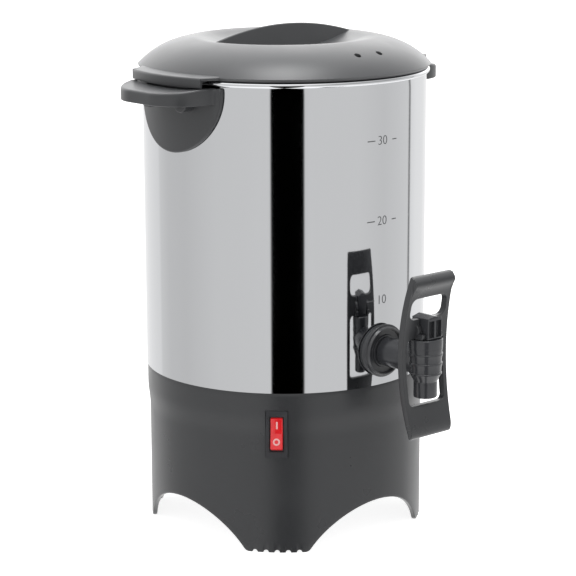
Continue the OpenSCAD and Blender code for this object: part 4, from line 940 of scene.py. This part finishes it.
class URN_OT_switch(bpy.types.Operator):
    """Switch and inlet: housings and rocker with softened edges, and the I and O on the rocker's faces"""
    bl_idname = "urn.switch"
    bl_label = "Switch and inlet"

    def execute(self, context):
        for name in ("switch_housing", "inlet_housing"):
            softened(name, "switch", "base", "black_plastic")
        reach, bend, half, pin_r, pin_half = 11.5, 9, 4.1, 1.5, 5.85
        valley = 3.9 / math.cos(math.radians(bend))
        upper = arc((0, 0), reach, 77.5, 118, 14)
        outline = spaced(np.vstack([upper, [(-valley, 0)], upper[::-1] * (1, -1)]), 300)
        pin = sideways(revolve([(0, -pin_half), (pin_r, -pin_half), (pin_r, pin_half), (0, pin_half)], 40))
        cap = leaned(sideways(plate(outline, -half, half, 0.8)), -bend)
        self.rocking("switch_rocker_cap", [cap, pin], "rocker", ("switch_rocker",), 30)
        # The I stands on the upper face, and the O on the lower one, which leans by twice the bend
        face_y, valley_z, down, lean, high = -3.88, 0.617, 5.5, math.radians(2 * bend), 0.12
        line = outward(plate(spaced(block(1.2, 5.2, 0.5), 60), 0, high, 0.04, 3))
        circle = [(1.3, 0, 0.04), (2.4, 0, 0.04), (2.4, high, 0.04), (1.3, high, 0.04)]
        circle = outward(ring_of(circle, 64, 3))
        circle = leaned(circle, -2 * bend)
        circle = moved(circle, (0, face_y - down * math.sin(lean), valley_z - down * math.cos(lean)))
        self.rocking("rocker_marks", [moved(line, (0.2, face_y, 6.4)), circle], "mark", (), 50)
        return {"FINISHED"}

    def rocking(self, name, shells, look, replaces, sharp, pin=(0, -93.297, 83.6), az=-45):
        """A piece that turns with the rocker, drawn about its pin."""
        shells = [at_az(moved(shell, pin), az) for shell in shells]
        make(name, shells, look, "rocker", "red_plastic", replaces, sharp)


class URN_OT_level_marks(bpy.types.Operator):
    """Level marks: plain numbers and dashes wrapped on the tank, x / r as the angle"""
    bl_idname = "urn.level_marks"
    bl_label = "Level marks"

    def execute(self, context):
        radius = sizes()["tank_diameter"] / 2
        stroke, raised, number_h, number_x, long_x, short_x = 0.7, 0.1, 8.8, -0.2, -9.9, 11.2
        long, short = (plate(spaced(block(width, stroke, 0.3), count), 0, raised, 0.04, 3)
                       for width, count in ((6.4, 80), (4.2, 60)))
        shells = []
        for text, z in (("30", 277.6), ("20", 223.9), ("10", 170.2)):
            shells.append(self.wrapped(self.letters(text, number_h), number_x, z, radius))
            shells.append(self.wrapped(long, long_x, z + 0.2, radius))
            if text != "10":
                shells.append(self.wrapped(short, short_x, z, radius))
        make("tank_level_marks", shells, "level", "base", "tank_steel", (), 50)
        return {"FINISHED"}

    def letters(self, text, tall):
        """Text made a flat mesh about its middle, with thinned strokes."""
        curve = bpy.data.curves.new("text", "FONT")
        curve.body, curve.size, curve.extrude, curve.offset = text, tall, 0.06, -0.12
        curve.align_x, curve.align_y = "CENTER", "CENTER"
        letters = placed("text", curve)
        mesh = bpy.data.meshes.new_from_object(letters.evaluated_get(bpy.context.evaluated_depsgraph_get()))
        bpy.data.objects.remove(letters)
        flat = np.empty(3 * len(mesh.vertices))
        mesh.vertices.foreach_get("co", flat)
        faces = [list(face.vertices) for face in mesh.polygons]
        bpy.data.meshes.remove(mesh)
        return flat.reshape(-1, 3), faces

    def wrapped(self, shell, x, z, radius):
        """A flat shell bent round the tank, with its middle at x and z."""
        across, up, out = shell[0].T
        return around(radius + 0.05 + out, (across + x) / radius, up + z), shell[1]


class URN_OT_inner_parts(bpy.types.Operator):
    """Finishes of the parts that keep their CAD shape: heater, valve, basket, screws and seals"""
    bl_idname = "urn.inner_parts"
    bl_label = "Inner parts"

    def execute(self, context):
        paint("skirt", "bottom_cover")
        paint("zinc", "cover_screws", "inlet_screws", "element_bracket", "stud_nuts", "handle_screws",
              "tap_inner_washer", "tap_backnut", "lever_pin")
        paint("brass", "switch_terminals", "inlet_pins")
        paint("aluminium", "heat_plate", "pump_tube", "pump_valve", "thermostat", "thermal_cutout")
        paint("basket", "coffee_basket", "basket_lid")
        paint("sheath", "heating_element")
        paint("ceramic", "terminal_block")
        paint("nylon", "handle_washers")
        paint("gasket", "tap_gasket")
        return {"FINISHED"}


# ---------- Stage ----------


class URN_OT_stage(bpy.types.Operator):
    """Camera, pale floor, white backdrop, a soft lamp above and the room that the steel mirrors"""
    bl_idname = "urn.stage"
    bl_label = "Stage"

    def execute(self, context):
        context.scene.view_settings.view_transform = "Standard"
        self.camera(context.scene)
        self.floor()
        self.lamp()
        self.room(context.scene)
        return {"FINISHED"}

    def camera(self, scene):
        """Camera 1.46 m away, 41.5 degrees to the left of the tap and 12.7 degrees down."""
        focal_px, picture_px, eye = 2135, 576, (-969.1, -1095.4, 491.8)
        data = bpy.data.cameras.new("camera")
        data.sensor_width = 36
        data.lens = focal_px / picture_px * data.sensor_width
        data.clip_start, data.clip_end = 0.05, 50
        yaw, pitch, roll, az = (math.radians(value) for value in (0.08, 12.71, -0.15, -41.5))
        toward = np.array([math.sin(az), -math.cos(az), 0])
        across = np.array([math.cos(az), math.sin(az), 0])
        zenith = np.array([0, 0, 1.0])
        level = across * math.sin(yaw) - toward * math.cos(yaw)
        right = across * math.cos(yaw) + toward * math.sin(yaw)
        ahead = level * math.cos(pitch) - zenith * math.sin(pitch)
        over = level * math.sin(pitch) + zenith * math.cos(pitch)
        matrix = np.eye(4)
        matrix[:3, 0] = right * math.cos(roll) + over * math.sin(roll)
        matrix[:3, 1] = over * math.cos(roll) - right * math.sin(roll)
        matrix[:3, 2] = -ahead
        matrix[:3, 3] = np.array(eye) * MM
        scene.camera = placed("camera", data)
        scene.camera.matrix_world = Matrix(matrix.tolist())

    def floor(self, half=4):
        """Pale floor that takes a soft shadow; the camera sees its own light added, so it is near white."""
        mesh = bpy.data.meshes.new("floor")
        corners = [(x * half, y * half, 0) for x, y in ((-1, -1), (1, -1), (1, 1), (-1, 1))]
        mesh.from_pydata(corners, [], [(0, 1, 2, 3)])
        made = bpy.data.materials.new("matt_white_paint")
        made.use_nodes = True
        tree = made.node_tree
        shader = tree.nodes["Principled BSDF"]
        shader.inputs["Base Color"].default_value = (*linear("#E9E9E9"), 1)
        shader.inputs["Roughness"].default_value = 0.9
        shader.inputs["Emission Color"].default_value = (1, 1, 1, 1)
        own_light = 0.86
        glow = maths(tree, "MULTIPLY", node(tree, "LightPath").outputs["Is Camera Ray"], own_light)
        tree.links.new(glow, shader.inputs["Emission Strength"])
        mesh.materials.append(made)
        floor = placed("floor", mesh)
        floor.visible_glossy = False

    def lamp(self):
        """A large soft lamp high over the urn."""
        data = bpy.data.lights.new("overhead_softbox", "AREA")
        data.shape, data.size, data.energy = "DISK", 1.6, 14.0
        lamp = placed("overhead_softbox", data)
        lamp.location = (0.0, -0.1, 1.9)
        lamp.visible_glossy = False

    def room(self, scene):
        """World: white to the eye, even to matt surfaces, and a studio with dark flags to shiny ones."""
        scene.world = bpy.data.worlds.new("studio")
        scene.world.use_nodes = True
        tree = scene.world.node_tree
        tree.nodes.clear()
        way = node(tree, "TexCoord").outputs["Generated"]
        split = node(tree, "SeparateXYZ", {"Vector": way}).outputs

        def toward(direction, first, last, low, high):
            """Smooth step from low to high as the cosine to a direction goes from first to last."""
            dot = node(tree, "VectorMath", {0: way, 1: direction}, operation="DOT_PRODUCT")
            return span(tree, dot.outputs["Value"], first, last, low, high, interpolation_type="SMOOTHSTEP")

        def light(colour, strength):
            """A background of a colour and a strength."""
            return node(tree, "Background", {"Color": colour, "Strength": strength}).outputs[0]

        def mixed(factor, first, second):
            """The first shader, or the second one where the factor is 1."""
            return node(tree, "MixShader", {0: factor, 1: first, 2: second}).outputs[0]

        # Brightness of the walls by degrees from -Y toward +X: two dark flags between bright screens
        brightest = 1.4
        bands = [(-180, 1.1), (-166, 1.07), (-163, 0.94), (-150, 0.84), (-130, 0.82), (-98, 0.92),
                 (-53.2, 0.94), (-52.8, 0.0), (-26.4, 0.0), (-26.0, 0.93), (20, 0.94), (45, 0.875),
                 (60, 0.92), (78.2, 0.97), (78.5, 0.2), (80.1, 0.2), (80.4, 1.1), (92, 1.17), (107, 1.1),
                 (140, 1.12), (180, 1.1)]
        angle = maths(tree, "ARCTAN2", split["X"], maths(tree, "MULTIPLY", split["Y"], -1.0))
        sides = ramp(tree, span(tree, angle, -math.pi, math.pi),
                     [((az + 180) / 360, (value / brightest,) * 3) for az, value in bands])
        # Above the horizon the flags end, and the wall at the right of the urn is darker
        open_sky = span(tree, split["Z"], -0.07, 0.0)
        right = toward((0.656, -0.755, 0), 0.15, 0.85, 0.7, 0.4)
        sides = node(tree, "Mix", {0: open_sky, 6: sides, 7: right}, data_type="RGBA").outputs[2]
        # Brightness by height, a light wall behind the urn and a lamp over it
        floor = span(tree, split["Z"], -1.0, -0.3, 2.9, 1.36)
        strength = maths(tree, "ADD", toward((0, 0, 1), 0.35, 0.95, 0.0, 1.5), floor)
        far = maths(tree, "MULTIPLY", toward((0.663, 0.749, 0), 0.1, 0.9, 0.0, 1.3), open_sky)
        strength = maths(tree, "MULTIPLY_ADD", far, brightest, strength)
        strength = maths(tree, "ADD", toward((-0.02, -0.02, 1.0), 0.95, 0.99, 0.0, 11.0), strength)
        white = (1, 1, 1, 1)
        path = node(tree, "LightPath").outputs
        shiny = mixed(path["Is Glossy Ray"], light(white, 0.75), light(sides, strength))
        seen = mixed(path["Is Camera Ray"], shiny, light(white, 1.0))
        node(tree, "OutputWorld", {"Surface": seen})


# ---------- Panel and running ----------


class URN_PT_panel(bpy.types.Panel):
    """Sizes, colours and pieces of the urn"""
    bl_idname = "URN_PT_panel"
    bl_label = "Coffee urn"
    bl_space_type = "VIEW_3D"
    bl_region_type = "UI"
    bl_category = "Urn"

    def draw(self, context):
        for group in (context.scene.urn_sizes, context.scene.urn_colours):
            box = self.layout.box()
            for name in group.__annotations__:
                box.prop(group, name)
        for step in STEPS:
            self.layout.operator(step.bl_idname)


STEPS = (URN_OT_stage, URN_OT_tank, URN_OT_base_skirt, URN_OT_lid, URN_OT_handles, URN_OT_tap, URN_OT_lever,
         URN_OT_switch, URN_OT_level_marks, URN_OT_inner_parts)
CLASSES = (UrnSizes, UrnColours, *STEPS, URN_PT_panel)


def register():
    for kind in CLASSES:
        bpy.utils.register_class(kind)
    bpy.types.Scene.urn_sizes = bpy.props.PointerProperty(type=UrnSizes)
    bpy.types.Scene.urn_colours = bpy.props.PointerProperty(type=UrnColours)


def unregister():
    del bpy.types.Scene.urn_sizes
    del bpy.types.Scene.urn_colours
    for kind in reversed(CLASSES):
        bpy.utils.unregister_class(kind)


def main():
    register()
    for step in STEPS:
        group, call = step.bl_idname.split(".")
        getattr(getattr(bpy.ops, group), call)()


if __name__ == "__main__":
    main()
